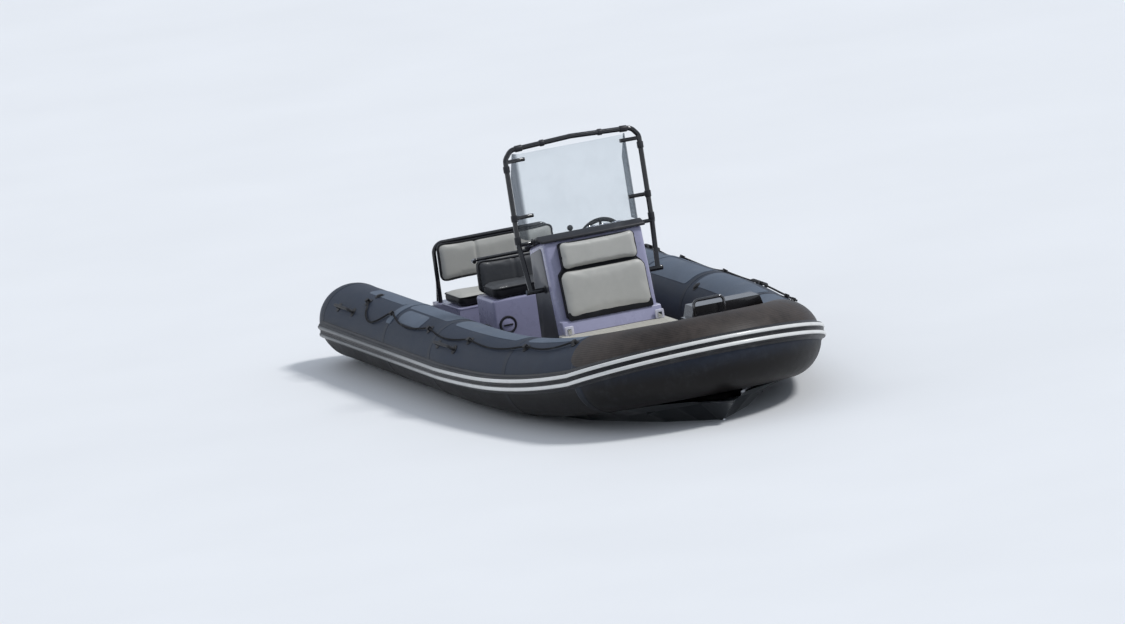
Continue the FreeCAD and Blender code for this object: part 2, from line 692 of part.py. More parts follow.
def rail_and_screen():
    r = n.rail_diameter / 2
    lean = (n.rail_knee_x - n.rail_top_x) / (n.rail_top_z - n.rail_knee_z)
    foot = Vector(n.rail_foot_x, -n.rail_foot_half, n.rail_foot_z)
    corner_x = n.rail_top_x + lean * (n.rail_top_z - n.rail_corner_z)
    half = [foot, Vector(n.rail_knee_x, -n.rail_half, n.rail_knee_z),
            Vector(corner_x, -n.rail_half, n.rail_corner_z),
            Vector(n.rail_top_x, -n.rail_top_half, n.rail_top_z)]
    crown = Vector(n.rail_top_x, 0, n.rail_top_z + n.rail_arch)
    bends = half + [crown] + [Vector(p.x, -p.y, p.z) for p in reversed(half)]
    pieces = [rod(bends, r, n.rail_bend)]
    clamp_r = n.clamp_diameter / 2
    clear = n.screen_thick / 2 + n.seat_gap + clamp_r

    def screen_x(height):
        return n.rail_knee_x - lean * (height - n.rail_knee_z) - n.screen_set_back

    for side in (-1, 1):
        stub_in = Vector(n.rail_foot_x, side * (n.console_half + n.seat_gap), n.rail_foot_z)
        stub_out = Vector(n.rail_foot_x, side * (n.rail_foot_half + 2 * r), n.rail_foot_z)
        pieces.append(bar(stub_in, stub_out, r))
        dash_side = Vector(n.rail_knee_x, side * (n.console_half + n.dash_lip + n.seat_gap), n.clamp_low_z)
        pieces.append(bar(Vector(n.rail_knee_x, side * (n.rail_half + r), n.clamp_low_z), dash_side,
                          clamp_r))
        for height in (n.clamp_mid_z, n.rail_corner_z - r):
            start = Vector(n.rail_knee_x - lean * (height - n.rail_knee_z), side * n.rail_half, height)
            end = Vector(screen_x(height) + clear, side * (n.screen_half - n.clamp_reach), height)
            pieces.append(bar(start, end, clamp_r))
    shaped("rail", pieces[0].multiFuse(pieces[1:]))
    low = dash_height(n.rail_knee_x - n.screen_set_back + n.screen_thick) + n.seat_gap
    plan = []
    for inset in (0, n.screen_thick):
        front, side = screen_x(low) + n.screen_thick / 2 - inset, n.screen_half - inset
        bend, back = n.screen_corner - inset, screen_x(low) - n.screen_wing
        swing = bend * (1 - math.sin(math.pi / 4))
        points = [(back, -side), (front - bend, -side), (front - swing, swing - side), (front, bend - side)]
        points += [(x, -y) for x, y in reversed(points)]
        plan.append([Vector(x, y, low) for x, y in points])
    outer, inner = plan
    edges = []
    for p in (outer, inner):
        edges += [Part.LineSegment(p[0], p[1]), Part.Arc(p[1], p[2], p[3]), Part.LineSegment(p[3], p[4]),
                  Part.Arc(p[4], p[5], p[6]), Part.LineSegment(p[6], p[7])]
    edges += [Part.LineSegment(outer[0], inner[0]), Part.LineSegment(outer[7], inner[7])]
    wire = Part.Wire(Part.__sortEdges__([edge.toShape() for edge in edges]))
    rise = n.screen_top_z - low
    pane = Part.Face(wire).extrude(Vector(-lean * rise, 0, rise))
    top = screen_x(n.screen_top_z) - n.screen_corner
    back = screen_x(low) - n.screen_wing - lean * rise
    slope = [Vector(x, -n.rail_half, h) for x, h in (
        (top, n.screen_top_z), (back, n.screen_top_z - n.screen_wing_drop),
        (back, n.screen_top_z + n.seat_gap), (top, n.screen_top_z + n.seat_gap))]
    wedge = Part.Face(Part.makePolygon(slope + slope[:1])).extrude(PORT * (2 * n.rail_half))
    shaped("windscreen", pane.cut(wedge))


# Helm: wheel on a raked shaft, dials and lever on the dash

def helm():
    origin = Vector(n.console_back_x, n.wheel_port, n.wheel_z)
    rake, r = n.wheel_angle, n.wheel_radius
    aft = Vector(-1, 0, 0)
    place = FreeCAD.Placement(origin, FreeCAD.Rotation(PORT, rake))
    deep = n.hub_radius
    bezel = Part.makeCylinder(n.hub_radius, deep + n.bezel_depth, AHEAD * deep, aft)
    shaft = Part.makeCylinder(n.helm_shaft, n.wheel_offset + n.wheel_hub / 2, Vector(0, 0, 0), aft)
    side = 4 * n.hub_radius
    console_side = Part.makeBox(side, side, side, Vector(-n.seat_gap, -side / 2, -side / 2))
    console_side = console_side.rotate(Vector(0, 0, 0), PORT, -rake)
    shaped("helm_bezel", bezel.fuse(shaft).cut(console_side), place)
    plane = aft * n.wheel_offset
    rim = Part.makeTorus(r - n.wheel_rim, n.wheel_rim, plane, AHEAD)
    hub = Part.makeCylinder(n.wheel_hub, n.wheel_hub, plane + AHEAD * (n.wheel_hub / 2), aft)
    spokes = []
    for degrees in (90, 210, 330):
        a = math.radians(degrees)
        direction = Vector(0, math.cos(a), math.sin(a))
        spokes.append(bar(plane, plane + direction * (r - n.wheel_rim), n.spoke_radius))
    bore = Part.makeCylinder(n.helm_shaft + n.run_gap, 2 * n.wheel_hub, plane + AHEAD * n.wheel_hub, aft)
    shaped("steering_wheel", rim.multiFuse([hub] + spokes).cut(bore), place)
    middle = (n.console_back_x - n.dash_lip + n.rail_knee_x - n.screen_set_back) / 2
    rise = dash_height(middle + 1) - dash_height(middle)
    normal = Vector(-rise, 0, 1).normalize()
    base = Vector(middle, 0, dash_height(middle)) + normal * n.seat_gap
    tilt = FreeCAD.Rotation(UP, normal)
    dials = []
    for shift, share in ((-1, 1), (0, 1), (1, 0.8)):
        dial = Part.makeCylinder(n.dial_radius * share, n.dial_height)
        dial.Placement = FreeCAD.Placement(base + PORT * (n.wheel_port + shift * n.dial_pitch), tilt)
        dials.append(dial)
    shaped("dials", Part.makeCompound(dials))
    y, x = n.throttle_starboard, n.console_back_x
    low = n.dash_back_z - n.throttle_drop
    size = n.throttle_size
    corner = Vector(x - size - n.seat_gap, y - 0.75 * size, low - size)
    block = Part.makeBox(size, 1.5 * size, 2 * size, corner)
    knob = Vector(x - size, y - size, low + n.throttle_lever)
    pivot = Vector(x - size / 2, y - 0.7 * size, low)
    lever = bar(Vector(pivot.x, y - size, low), knob, n.spoke_radius)
    boss = bar(pivot, Vector(pivot.x, y - 1.1 * size, low), size / 3)
    shaped("throttle", block.multiFuse([lever, Part.makeSphere(size / 3, knob), boss]))


# Helm seat: a pod with two round hatches, a cushion, a low backrest and a grab bar

# share of the free room between the bench and the console that lies behind the seat
POD_SHARE = 0.248


def pod_front():
    """Station of the seat pod's front."""
    bench = transom + z.bench_front
    seat = z.pod_length + z.handle_reach
    return bench + (z.console_back_x - bench - seat) * POD_SHARE + seat


def helm_seat():
    gap = z.seat_gap
    fore, aft = pod_front(), pod_front() - z.pod_length
    low = z.deck_top + gap
    side = [(aft, low), (fore - z.toe_kick, low), (fore - z.toe_kick, low + z.toe_kick),
            (fore, low + 2 * z.toe_kick),
            (fore, z.pod_top), (aft, z.pod_top)]
    padded("helm_seat_pod", "XZ_Plane", side, 2 * z.pod_half, rounded=across, radius=z.pod_round)
    rings = []
    for sign in (-1, 1):
        centre = Vector(float(pod_front()) + n.seat_gap, sign * n.hatch_ring_y, n.hatch_ring_z)
        rings.append(Part.makeCylinder(n.hatch_ring, n.hatch_thick, centre, AHEAD))
    shaped("pod_hatches", Part.makeCompound(rings))
    back_front = aft + z.helm_back_depth
    cushion = [(back_front + gap, z.pod_top + gap), (fore + z.toe_kick / 2, z.pod_top + gap),
               (fore + z.toe_kick / 2, z.pod_top + z.pod_cushion_thick),
               (back_front + gap, z.pod_top + z.pod_cushion_thick)]
    padded("helm_seat_cushion", "XZ_Plane", cushion, 2 * z.pod_half, rounded=any_edge,
           radius=z.cushion_round)
    top = z.pod_top + z.pod_cushion_thick / 2 + z.helm_back_height
    back = [(aft, z.pod_top + gap), (back_front, z.pod_top + gap), (back_front, top), (aft, top)]
    padded("helm_backrest", "XZ_Plane", back, 2 * z.pod_half, rounded=any_edge, radius=z.cushion_round)
    rear, reach, height = float(aft) - n.seat_gap, n.handle_reach, float(top) - n.handle_drop
    points = [Vector(rear, -n.handle_half, height), Vector(rear - reach, -n.handle_half, height),
              Vector(rear - reach, n.handle_half, height), Vector(rear, n.handle_half, height)]
    shaped("helm_seat_handle", rod(points, n.handle_radius, reach * 0.6))


# Aft bench: a box over the engine with a lid that tips forward, and a backrest on a bent frame

def aft_bench():
    gap = z.seat_gap
    fore, aft = transom + z.bench_front, transom + z.transom_thick + gap
    low, top, wall = z.deck_top + gap, z.box_height, z.box_wall
    length, height = fore - aft, top - low
    outer = box("BoxOuter", length, 2 * z.bench_half, height, aft, 0, low)
    inner = box("BoxInner", length - 2 * wall, 2 * (z.bench_half - wall), height - wall, aft + wall, 0, low)
    shell = joined("BoxShell", "Cut", outer, inner)
    lid_aft = fore - z.bench_length
    mouth = box("BoxMouth", z.bench_length - 4 * wall, 2 * (z.bench_half - 3 * wall), 4 * wall,
                lid_aft + 2 * wall, 0,
                top - 2 * wall)
    keep(joined("BoxOpen", "Cut", shell, mouth), "engine_box")
    lid = [(lid_aft, -z.bench_half), (fore, -z.bench_half), (fore, z.bench_half), (lid_aft, z.bench_half)]
    padded("engine_lid", "XY_Plane", lid, z.lid_thick, shift=top + gap + z.lid_thick / 2)
    seat_low = top + 2 * gap + z.lid_thick
    seat_high = seat_low + z.bench_cushion
    cushion = [(lid_aft, seat_low), (fore, seat_low), (fore, seat_high), (lid_aft, seat_high)]
    padded("bench_cushion", "XZ_Plane", cushion, 2 * z.bench_half, rounded=any_edge, radius=z.cushion_round)
    front = transom + z.bench_back
    back = front - z.bench_back_thick
    pad = [(back, z.bench_back_low), (front, z.bench_back_low), (front, z.bench_back_high),
           (back, z.bench_back_high)]
    padded("bench_backrest", "XZ_Plane", pad, 2 * z.bench_back_half, rounded=any_edge,
           radius=z.cushion_round)
    r = n.post_diameter / 2
    x = float(back) - n.seat_gap - r
    foot = n.box_height + n.seat_gap
    side, high = n.bench_back_half - r, n.bench_back_high - r
    points = [Vector(x, -side, foot), Vector(x, -side, high), Vector(x, side, high), Vector(x, side, foot)]
    pieces = [rod(points, r, n.post_bend)]
    for sign in (-1, 1):
        brace = Vector(x - n.post_rake, sign * side, foot + n.post_brace_radius / 2)
        pieces.append(bar(brace, Vector(x, sign * side, n.post_brace_z), n.post_brace_radius))
    frame = pieces[0].multiFuse(pieces[1:])
    span = 2 * n.bench_half
    below = Part.makeBox(span, 2 * span, span, Vector(x - span / 2, -span, foot - span))
    shaped("backrest_frame", frame.cut(below))


# Engine: a plain block in its well. Drive: shield, steering ring, leg and propeller

def engine_and_drive():
    block = box("EngineBlock", z.engine_length, 2 * z.engine_half, z.engine_high - z.engine_low,
                engine_aft(), 0,
                z.engine_low)
    keep(block, "engine_block")
    x0, axis_z = transom_x - n.drive_axis, n.drive_axis_z
    transom_shield(x0, axis_z)
    steering_ring(x0, axis_z)
    drive_leg(x0, axis_z)
    propeller()


def transom_shield(x0, axis_z):
    """Plate on the transom with an ear above and below the steering ring."""
    face = transom_x - n.seat_gap
    plate = Part.makeBox(n.shield_thick, 2 * n.shield_half, n.shield_high - n.shield_low,
                         Vector(face - n.shield_thick, -n.shield_half, n.shield_low))
    pieces = [plate.makeFillet(n.shield_round,
                               [e for e in plate.Edges if e.BoundBox.XLength > n.shield_thick - 1])]
    for low in (axis_z + n.ring_half + n.move_gap, axis_z - n.ring_half - n.move_gap - n.ear_thick):
        pieces.append(Part.makeBox(face - x0, 2 * n.ear_half, n.ear_thick, Vector(x0, -n.ear_half, low)))
        pieces.append(Part.makeCylinder(n.ear_half, n.ear_thick, Vector(x0, 0, low), UP))
    shield = pieces[0].multiFuse(pieces[1:])
    tall = 2 * n.ring_half
    hole = Part.makeCylinder(n.pin_radius + n.run_gap, 2 * tall, Vector(x0, 0, axis_z - tall), UP)
    shaped("transom_shield", shield.cut(hole).removeSplitter())


def steering_ring(x0, axis_z):
    """Square ring on upright pins, bored across for the leg's trunnion."""
    depth, ring_out, ring_in = n.ring_depth, n.ring_half, n.ring_half - n.ring_bar
    outer = Part.makeBox(depth, 2 * ring_out, 2 * ring_out,
                         Vector(x0 - depth / 2, -ring_out, axis_z - ring_out))
    inner = Part.makeBox(2 * depth, 2 * ring_in, 2 * ring_in,
                         Vector(x0 - depth, -ring_in, axis_z - ring_in))
    ring = outer.makeFillet(n.ring_round,
                            [e for e in outer.Edges if e.BoundBox.XLength > depth - 1]).cut(inner)
    reach = ring_out + n.move_gap + n.ear_thick
    for sign in (-1, 1):
        ring = ring.fuse(bar(Vector(x0, 0, axis_z + sign * ring_in), Vector(x0, 0, axis_z + sign * reach),
                             n.pin_radius))
    cross = Part.makeCylinder(n.pin_radius + n.run_gap, 4 * ring_out, Vector(x0, -2 * ring_out, axis_z),
                              PORT)
    shaped("steering_ring", ring.cut(cross))


def drive_leg(x0, axis_z):
    """Head with trunnion, arm, cowl, column, gear pod, plate and skeg."""
    half, length, prop_x = n.leg_head_half, n.leg_chord, transom_x - n.prop_behind
    head = Part.makeCylinder(n.leg_head, 2 * half, Vector(x0, -half, axis_z), PORT)
    trunnion = Part.makeCylinder(n.pin_radius, 2 * n.ring_half, Vector(x0, -n.ring_half, axis_z), PORT)
    arm = Part.makeBox(n.leg_arm, 2 * n.leg_arm_half, 2 * n.leg_arm_half,
                       Vector(x0 - n.leg_arm, -n.leg_arm_half, axis_z - n.leg_arm_half))
    cowl_x = x0 - n.leg_arm
    cowl = Part.makeBox(length, 2 * n.leg_cowl_half, n.leg_cowl_height,
                        Vector(cowl_x - length * 0.8, -n.leg_cowl_half, axis_z - n.leg_cowl_height * 0.62))
    cowl = cowl.makeFillet(n.leg_cowl_round, cowl.Edges)
    column = foil(cowl_x + length * 0.1, cowl_x - length * 0.85, n.leg_column_half, n.prop_axis_z,
                  axis_z - n.leg_cowl_round)
    pod_front, pod_back = cowl_x + length * 0.35, prop_x + n.prop_hub_length / 2 + n.move_gap
    pod = Part.makeCylinder(n.prop_hub, pod_front - pod_back - n.prop_hub,
                            Vector(pod_back, 0, n.prop_axis_z), AHEAD)
    nose = Part.makeSphere(n.prop_hub, Vector(pod_front - n.prop_hub, 0, n.prop_axis_z))
    shaft_end = Vector(prop_x - n.prop_hub_length / 2, 0, n.prop_axis_z)
    shaft = Part.makeCylinder(n.shaft_radius, pod_back - shaft_end.x, shaft_end, AHEAD)
    wide, narrow = n.plate_half, n.plate_half * 0.4
    outline = [(pod_front, 0), (pod_front - wide * 0.6, wide * 0.6), (cowl_x - length / 2, wide),
               (prop_x - narrow, wide), (prop_x - wide / 2, narrow)]
    outline += [(x, -y) for x, y in reversed(outline[1:])]
    wire = Part.makePolygon([Vector(x, y, n.plate_z) for x, y in outline + outline[:1]])
    plate = Part.Face(wire).extrude(UP * n.plate_thick)
    root = (pod_front - n.prop_hub, pod_back + n.prop_hub / 2)
    tip = (pod_back + n.prop_hub, pod_back + n.prop_hub / 4)
    skeg_wire = Part.makePolygon([Vector(x, -n.skeg_thick / 2, h) for x, h in (
        (root[0], n.prop_axis_z), (root[1], n.prop_axis_z), (tip[1], n.skeg_low), (tip[0], n.skeg_low),
        (root[0], n.prop_axis_z))])
    skeg = Part.Face(skeg_wire).extrude(PORT * n.skeg_thick)
    shaped("drive_leg", head.multiFuse([trunnion, arm, cowl, column, pod, nose, shaft, plate, skeg]))


def propeller():
    """Three blades on a bored hub."""
    prop_x, length = transom_x - n.prop_behind, n.prop_hub_length
    hub = Part.makeCylinder(n.prop_hub, length, Vector(prop_x - length / 2, 0, n.prop_axis_z), AHEAD)
    blades = [blade(degrees) for degrees in (0, 120, 240)]
    bore = Part.makeCylinder(n.shaft_radius + n.run_gap, 2 * length,
                             Vector(prop_x - length, 0, n.prop_axis_z), AHEAD)
    shaped("propeller", hub.multiFuse(blades).cut(bore))


def foil(front, back, half, low, high):
    """An upright strut with a round nose and a thin tail."""
    nose = Vector(front, 0, low)
    shoulder = front - (front - back) * 0.35
    edges = [Part.Arc(Vector(shoulder, -half, low), nose, Vector(shoulder, half, low)).toShape(),
             Part.LineSegment(Vector(shoulder, half, low), Vector(back, 3, low)).toShape(),
             Part.LineSegment(Vector(back, 3, low), Vector(back, -3, low)).toShape(),
             Part.LineSegment(Vector(back, -3, low), Vector(shoulder, -half, low)).toShape()]
    return Part.Face(Part.Wire(edges)).extrude(UP * (high - low))


def blade(degrees):
    """A propeller blade: three twisted sections from the hub to the tip, turned round the shaft."""
    # columns: radius share, chord, pitch angle, thickness, rake aft
    table = [(0.2, 70, 62, 16, 0), (0.55, 112, 40, 9, -4), (0.85, 104, 29, 6, -10), (1.0, 46, 24, 4, -16)]
    wires = []
    prop_x = transom_x - n.prop_behind
    for share, chord, pitch, thick, rake in table:
        r = share * n.prop_radius
        a = math.radians(pitch)
        along_chord = Vector(math.sin(a), math.cos(a), 0)
        through = Vector(math.cos(a), -math.sin(a), 0)
        centre = Vector(prop_x + rake, 0, n.prop_axis_z + r)
        corners = [centre - along_chord * (chord / 2),
                   centre + through * (thick / 2) - along_chord * (chord / 6),
                   centre + along_chord * (chord / 2),
                   centre - through * (thick / 2) + along_chord * (chord / 6)]
        wires.append(Part.makePolygon(corners + corners[:1]))
    solid = ruled(wires)
    solid.rotate(Vector(prop_x, 0, n.prop_axis_z), AHEAD, degrees)
    return solid


# Bow: locker with a lid, step, case with a bent bar to tie up to, dark pad over the tube and a towing eye

def locker_outline(shrink):
    """The locker's outline, drawn in by a wall; its sides keep a gap to the tubes."""
    fore = nose_gap(n.locker_fore_gap)
    aft = fore - n.locker_length
    half_aft, half_fore = inner_half(aft, n.locker_side_gap), inner_half(fore, n.locker_side_gap / 2)
    shrink = float(shrink)
    return [(aft + shrink, shrink - half_aft), (fore - shrink, shrink - half_fore),
            (fore - shrink, half_fore - shrink), (aft + shrink, half_aft - shrink)]


def locker():
    """A box between the tubes, open on top, and its lid."""
    low, lid_low = z.deck_top + z.seat_gap, z.locker_top - z.locker_lid
    height = lid_low - low
    body = doc.addObject("PartDesign::Body", "Body_bow_locker")
    outline = sketch_on(body, "XY_Plane", "locker_outline")
    polygon(outline, locker_outline(0))
    pad = body.newObject("PartDesign::Pad", "locker_pad")
    pad.Profile = outline
    bind(pad, Length=height)
    inside = sketch_on(body, "XY_Plane", "locker_inside")
    polygon(inside, locker_outline(z.locker_wall))
    bind(inside, AttachmentOffset__Base__z=height)
    pocket = body.newObject("PartDesign::Pocket", "locker_hollow")
    pocket.Profile = inside
    bind(pocket, Length=height - z.locker_wall)
    body.setExpression("Placement.Base.z", low.text)
    doc.recompute()
    keep(body, "bow_locker")
    thick = z.locker_lid - z.seat_gap
    padded("bow_locker_lid", "XY_Plane", locker_outline(0), thick, shift=lid_low + z.seat_gap + thick / 2)


def bow_pad():
    """Dark pad round the front of the tube, over its top and down its inner side."""
    inner, outer = n.tube_radius + n.pad_gap, n.tube_radius + n.pad_gap + n.pad_thick
    index = len(path.segments) - 1
    point, heading = path.at(index, 0)
    face = band_face(point, heading, n.pad_low_angle, n.pad_high_angle, inner, outer)
    arc = path.segments[index]
    half = face.revolve(arc["centre"], arc["axis"], math.degrees(arc["angle"]))
    shaped("bow_pad", half.fuse(mirrored(half)))


def bow_step_and_case():
    """Step between the tubes, and the dark case that stands on it and on the pad, with the bar on its
    ledge."""
    aft = nose_gap(n.locker_fore_gap) + n.move_gap
    fore = nose_gap(n.step_fore_gap)
    floor, top = n.deck_top + n.seat_gap, n.step_top
    half_aft, half_fore = inner_half(aft, n.step_side_gap), inner_half(fore, n.step_side_gap)
    corners = [Vector(x, y, floor) for x, y in (
        (aft, -half_aft), (fore, -half_fore), (fore, half_fore), (aft, half_aft), (aft, -half_aft))]
    shaped("bow_step", Part.Face(Part.makePolygon(corners)).extrude(UP * (top - floor)))
    front = nose_gap(n.case_fore_gap)
    back = front - n.case_length
    low, ledge_top, case_top = top + n.seat_gap, crown + n.ledge_rise, crown + n.case_rise
    corners = [Vector(back, y, h) for y, h in (
        (n.case_starboard - n.case_flare, low), (n.case_port + n.case_flare, low),
        (n.case_port, case_top),
        (n.case_starboard, case_top), (n.case_starboard - n.case_flare, low))]
    case = Part.Face(Part.makePolygon(corners)).extrude(AHEAD * n.case_length)
    ledge = Part.makeBox(n.ledge_length + n.case_length / 2, n.ledge_port - n.ledge_starboard,
                         ledge_top - low,
                         Vector(front - n.case_length / 2, n.ledge_starboard, low))
    padded_tube = []
    for arc in (path.segments[-1], path.segments[-2]):
        disc = Part.makeCircle(n.tube_radius + n.pad_gap + n.pad_thick + n.seat_gap, arc["start"],
                               arc["heading"])
        turn = math.degrees(arc["angle"])
        solid = Part.Face(Part.Wire([disc])).revolve(arc["centre"], arc["axis"], turn)
        padded_tube += [solid, mirrored(solid)]
    stand = case.fuse(ledge).cut(padded_tube[0].multiFuse(padded_tube[1:]))
    shaped("bow_case", sorted(stand.Solids, key=lambda solid: -solid.Volume)[0])
    r = n.bow_bar_diameter / 2
    base, x = ledge_top + n.seat_gap, front + n.ledge_length / 2
    low_y, high_y = n.bow_bar_middle - n.bow_bar_span / 2, n.bow_bar_middle + n.bow_bar_span / 2
    high = base + n.bow_bar_height
    points = [Vector(x, low_y, base), Vector(x, low_y, high), Vector(x, high_y, high),
              Vector(x, high_y, base)]
    bar_shape = rod(points, r, n.bow_bar_bend)
    for y in (low_y, high_y):
        bar_shape = bar_shape.fuse(Part.makeCylinder(2.2 * r, r / 2, Vector(x, y, base), UP))
    shaped("bow_bar", bar_shape)


def ring_eye(centre, radius, wire, root, root_half):
    """A bored eye whose bore lies athwart, with a web down to two root corners."""
    edge = radius + wire
    away = (root - centre).normalize()
    across_way = away.cross(PORT)
    ring = Part.makeCylinder(edge, 2 * wire, centre - PORT * wire, PORT)
    corners = [centre - across_way * (edge * 0.8), root - across_way * root_half,
               root + across_way * root_half,
               centre + across_way * (edge * 0.8)]
    outline = Part.makePolygon([p - PORT * wire for p in corners + corners[:1]])
    web = Part.Face(outline).extrude(PORT * (2 * wire))
    bore = Part.makeCylinder(radius, 4 * edge, centre - PORT * (2 * edge), PORT)
    return ring.fuse(web).cut(bore)


def eyes():
    """Towing eye on the stem and one eye at each side of the transom."""
    low, high = [Vector(bow_x - from_bow * along_ship, 0, bow_line + points[0][1] * across_ship)
                 for from_bow, points in (STEM_FOOT, STEM_HEAD)]
    up_stem = (high - low).normalize()
    normal = PORT.cross(up_stem)
    root = low + up_stem * n.eye_rise
    centre = root + normal * (n.eye_radius + 2 * n.eye_wire)
    eye = ring_eye(centre, n.eye_radius, n.eye_wire, root - normal * n.eye_wire, n.eye_root)
    eye = eye.cut(doc.getObject("HullWithWell").Shape)
    shaped("bow_eye", sorted(eye.Solids, key=lambda solid: -solid.Volume)[0])
    print("bow eye at", centre, "bow line", bow_line, "crown", crown)
    face = transom_x - n.seat_gap
    rings = []
    for side in (-1, 1):
        centre = Vector(face - n.stern_eye_offset, side * n.stern_eye_y, n.stern_eye_z)
        root = Vector(face, centre.y, centre.z)
        rings.append(ring_eye(centre, n.stern_eye_radius, n.eye_wire, root,
                              n.stern_eye_radius + n.eye_wire))
    shaped("stern_eyes", Part.makeCompound(rings))


# Grab lines along each tube, their lugs, and carrying handles

# lugs: share of the run from the stern cone to the bow pad, and angle above the outer side
LUGS = [(0.159, 62), (0.293, 56), (0.481, 53), (0.656, 56), (0.847, 60), (0.984, 65)]
# lowest angle of each bight between two lugs
BIGHTS = [30, 42, 46, 50, 54]
# handles: share of the same run at the middle, and angle
HANDLES = [(0.096, 38), (0.587, 36)]


def lug(distance, angle, bored):
    """A round foot on the tube with a block over it, bored for the line where asked."""
    point, heading, out, lift = path.place(distance)
    a = math.radians(angle)
    normal = out * math.cos(a) + lift * math.sin(a)
    skin = point + normal * n.tube_radius
    foot = Part.makeCylinder(n.lug_base, n.lug_base + n.lug_thick, skin - normal * n.lug_base, normal)
    base = n.tube_radius + n.seat_gap
    foot = foot.cut(Part.makeCylinder(base, 4 * n.lug_base, point - heading * (2 * n.lug_base), heading))
    if not bored:
        return foot
    side = heading.cross(normal)
    start = skin + normal * (n.lug_thick / 2) - heading * (n.lug_length / 2) - side * n.lug_half
    corners = [start, start + side * (2 * n.lug_half),
               start + side * (2 * n.lug_half) + normal * n.lug_height,
               start + normal * n.lug_height, start]
    block = Part.Face(Part.makePolygon(corners)).extrude(heading * n.lug_length)
    hole = Part.makeCylinder(n.rope_radius + n.seat_gap * 3, 4 * n.lug_base,
                             skin + normal * n.rope_offset - heading * (2 * n.lug_base), heading)
    return foot.fuse(block).cut(hole)


def grab_lines():
    """A line on each side, threaded through its lugs and hanging in a bight between each pair."""
    whole = path.half_length() - path.segments[-1]["run"]
    reach = n.tube_radius + n.rope_offset
    points = []
    for index, (share, angle) in enumerate(LUGS):
        middle = share * whole
        centre, heading = path.on(middle, angle, reach), path.place(middle)[1]
        points += [centre + heading * (end * n.lug_length) for end in (-1, 1)]
        if index < len(BIGHTS):
            span = (LUGS[index + 1][0] - share) * whole
            low, further = BIGHTS[index], LUGS[index + 1][1]
            for part_way, height in ((0.24, (angle + 2 * low) / 3), (0.5, low),
                                     (0.76, (further + 2 * low) / 3)):
                points.append(path.on(middle + span * part_way, height, reach))
    line = rod(points, n.rope_radius, n.rope_bend)
    shaped("grab_lines", Part.makeCompound([line, mirrored(line)]))
    lugs = [lug(share * whole, angle, True) for share, angle in LUGS]
    shaped("line_lugs", Part.makeCompound(lugs + [mirrored(one) for one in lugs]))
    handles = []
    for share, angle in HANDLES:
        middle, half = share * whole, n.grip_length / 2
        low, high = n.tube_radius + n.lug_thick / 2, n.tube_radius + n.grip_height
        grip = rod([path.on(middle - half, angle, low), path.on(middle - half, angle, high),
                    path.on(middle + half, angle, high), path.on(middle + half, angle, low)],
                   n.grip_radius, n.grip_bend)
        feet = [lug(middle + end * half, angle, False) for end in (-1, 1)]
        handles.append(grip.multiFuse(feet))
    shaped("carry_handles", Part.makeCompound(handles + [mirrored(one) for one in handles]))


def band_face(point, heading, low, high, inner, outer):
    """A thin face round part of the tube, from one angle above its middle to another."""
    out = outward(heading)
    lift = out.cross(heading)

    def place(radius, degrees):
        a = math.radians(degrees)
        return point + out * (radius * math.cos(a)) + lift * (radius * math.sin(a))
    middle = (low + high) / 2
    edges = [Part.Arc(place(inner, low), place(inner, middle), place(inner, high)).toShape(),
             Part.LineSegment(place(inner, high), place(outer, high)).toShape(),
             Part.Arc(place(outer, high), place(outer, middle), place(outer, low)).toShape(),
             Part.LineSegment(place(outer, low), place(inner, low)).toShape()]
    return Part.Face(Part.Wire(edges))


tube_collar()
rubbing_strake()
hull()
deck_and_transom()
console()
front_seat()
rail_and_screen()
helm()
helm_seat()
aft_bench()
engine_and_drive()
locker()
bow_pad()
bow_step_and_case()
doc.recompute()
eyes()
grab_lines()
doc.recompute()
bad = [f.Label for f in doc.Objects if "Invalid" in f.State or "Error" in f.State]
for part in sub_parts:
    if part.Shape.isNull() or not part.Shape.isValid():
        bad.append(part.Label + " shape")
    print(part.Label, round(part.Shape.Volume / 1e9, 5), len(part.Shape.Solids), len(part.Shape.Faces))
if bad:
    raise RuntimeError("failed: " + ", ".join(bad))
for part in sub_parts:
    part.Shape.exportStep(f"parts/{part.Label}.step")
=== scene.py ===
"""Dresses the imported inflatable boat: collar, hull, console, seats, stern drive, floor, light and camera."""
import logging
import math
from collections.abc import Callable, Iterator
from contextlib import contextmanager
from dataclasses import dataclass, field
from enum import Enum

import bmesh
import bpy
import numpy as np
from mathutils import Matrix, Vector


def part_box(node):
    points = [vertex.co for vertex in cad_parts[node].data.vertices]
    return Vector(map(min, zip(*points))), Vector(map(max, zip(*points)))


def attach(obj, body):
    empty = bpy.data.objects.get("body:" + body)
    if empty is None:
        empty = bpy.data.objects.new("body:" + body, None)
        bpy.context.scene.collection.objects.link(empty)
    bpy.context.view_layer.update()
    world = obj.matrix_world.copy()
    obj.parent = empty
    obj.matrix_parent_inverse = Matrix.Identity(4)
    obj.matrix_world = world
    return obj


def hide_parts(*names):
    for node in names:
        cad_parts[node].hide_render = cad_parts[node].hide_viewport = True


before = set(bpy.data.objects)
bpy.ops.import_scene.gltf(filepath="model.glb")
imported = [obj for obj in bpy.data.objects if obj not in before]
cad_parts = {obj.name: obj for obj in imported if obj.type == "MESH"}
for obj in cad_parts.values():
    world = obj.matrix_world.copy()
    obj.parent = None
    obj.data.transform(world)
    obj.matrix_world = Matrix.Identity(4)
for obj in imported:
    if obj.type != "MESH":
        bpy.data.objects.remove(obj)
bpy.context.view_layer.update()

log = logging.getLogger("boat")
Array = np.ndarray
Point = tuple[float, float, float]
Colour = tuple[float, float, float]
Corners = list[tuple[float, float]]
TURN = 2 * math.pi
TUBE_RADIUS = 0.255
PAD_HALF = 0.842
DECK_TOP = 0.0803


# Shader maths ------------------------------------------------------------------------------------


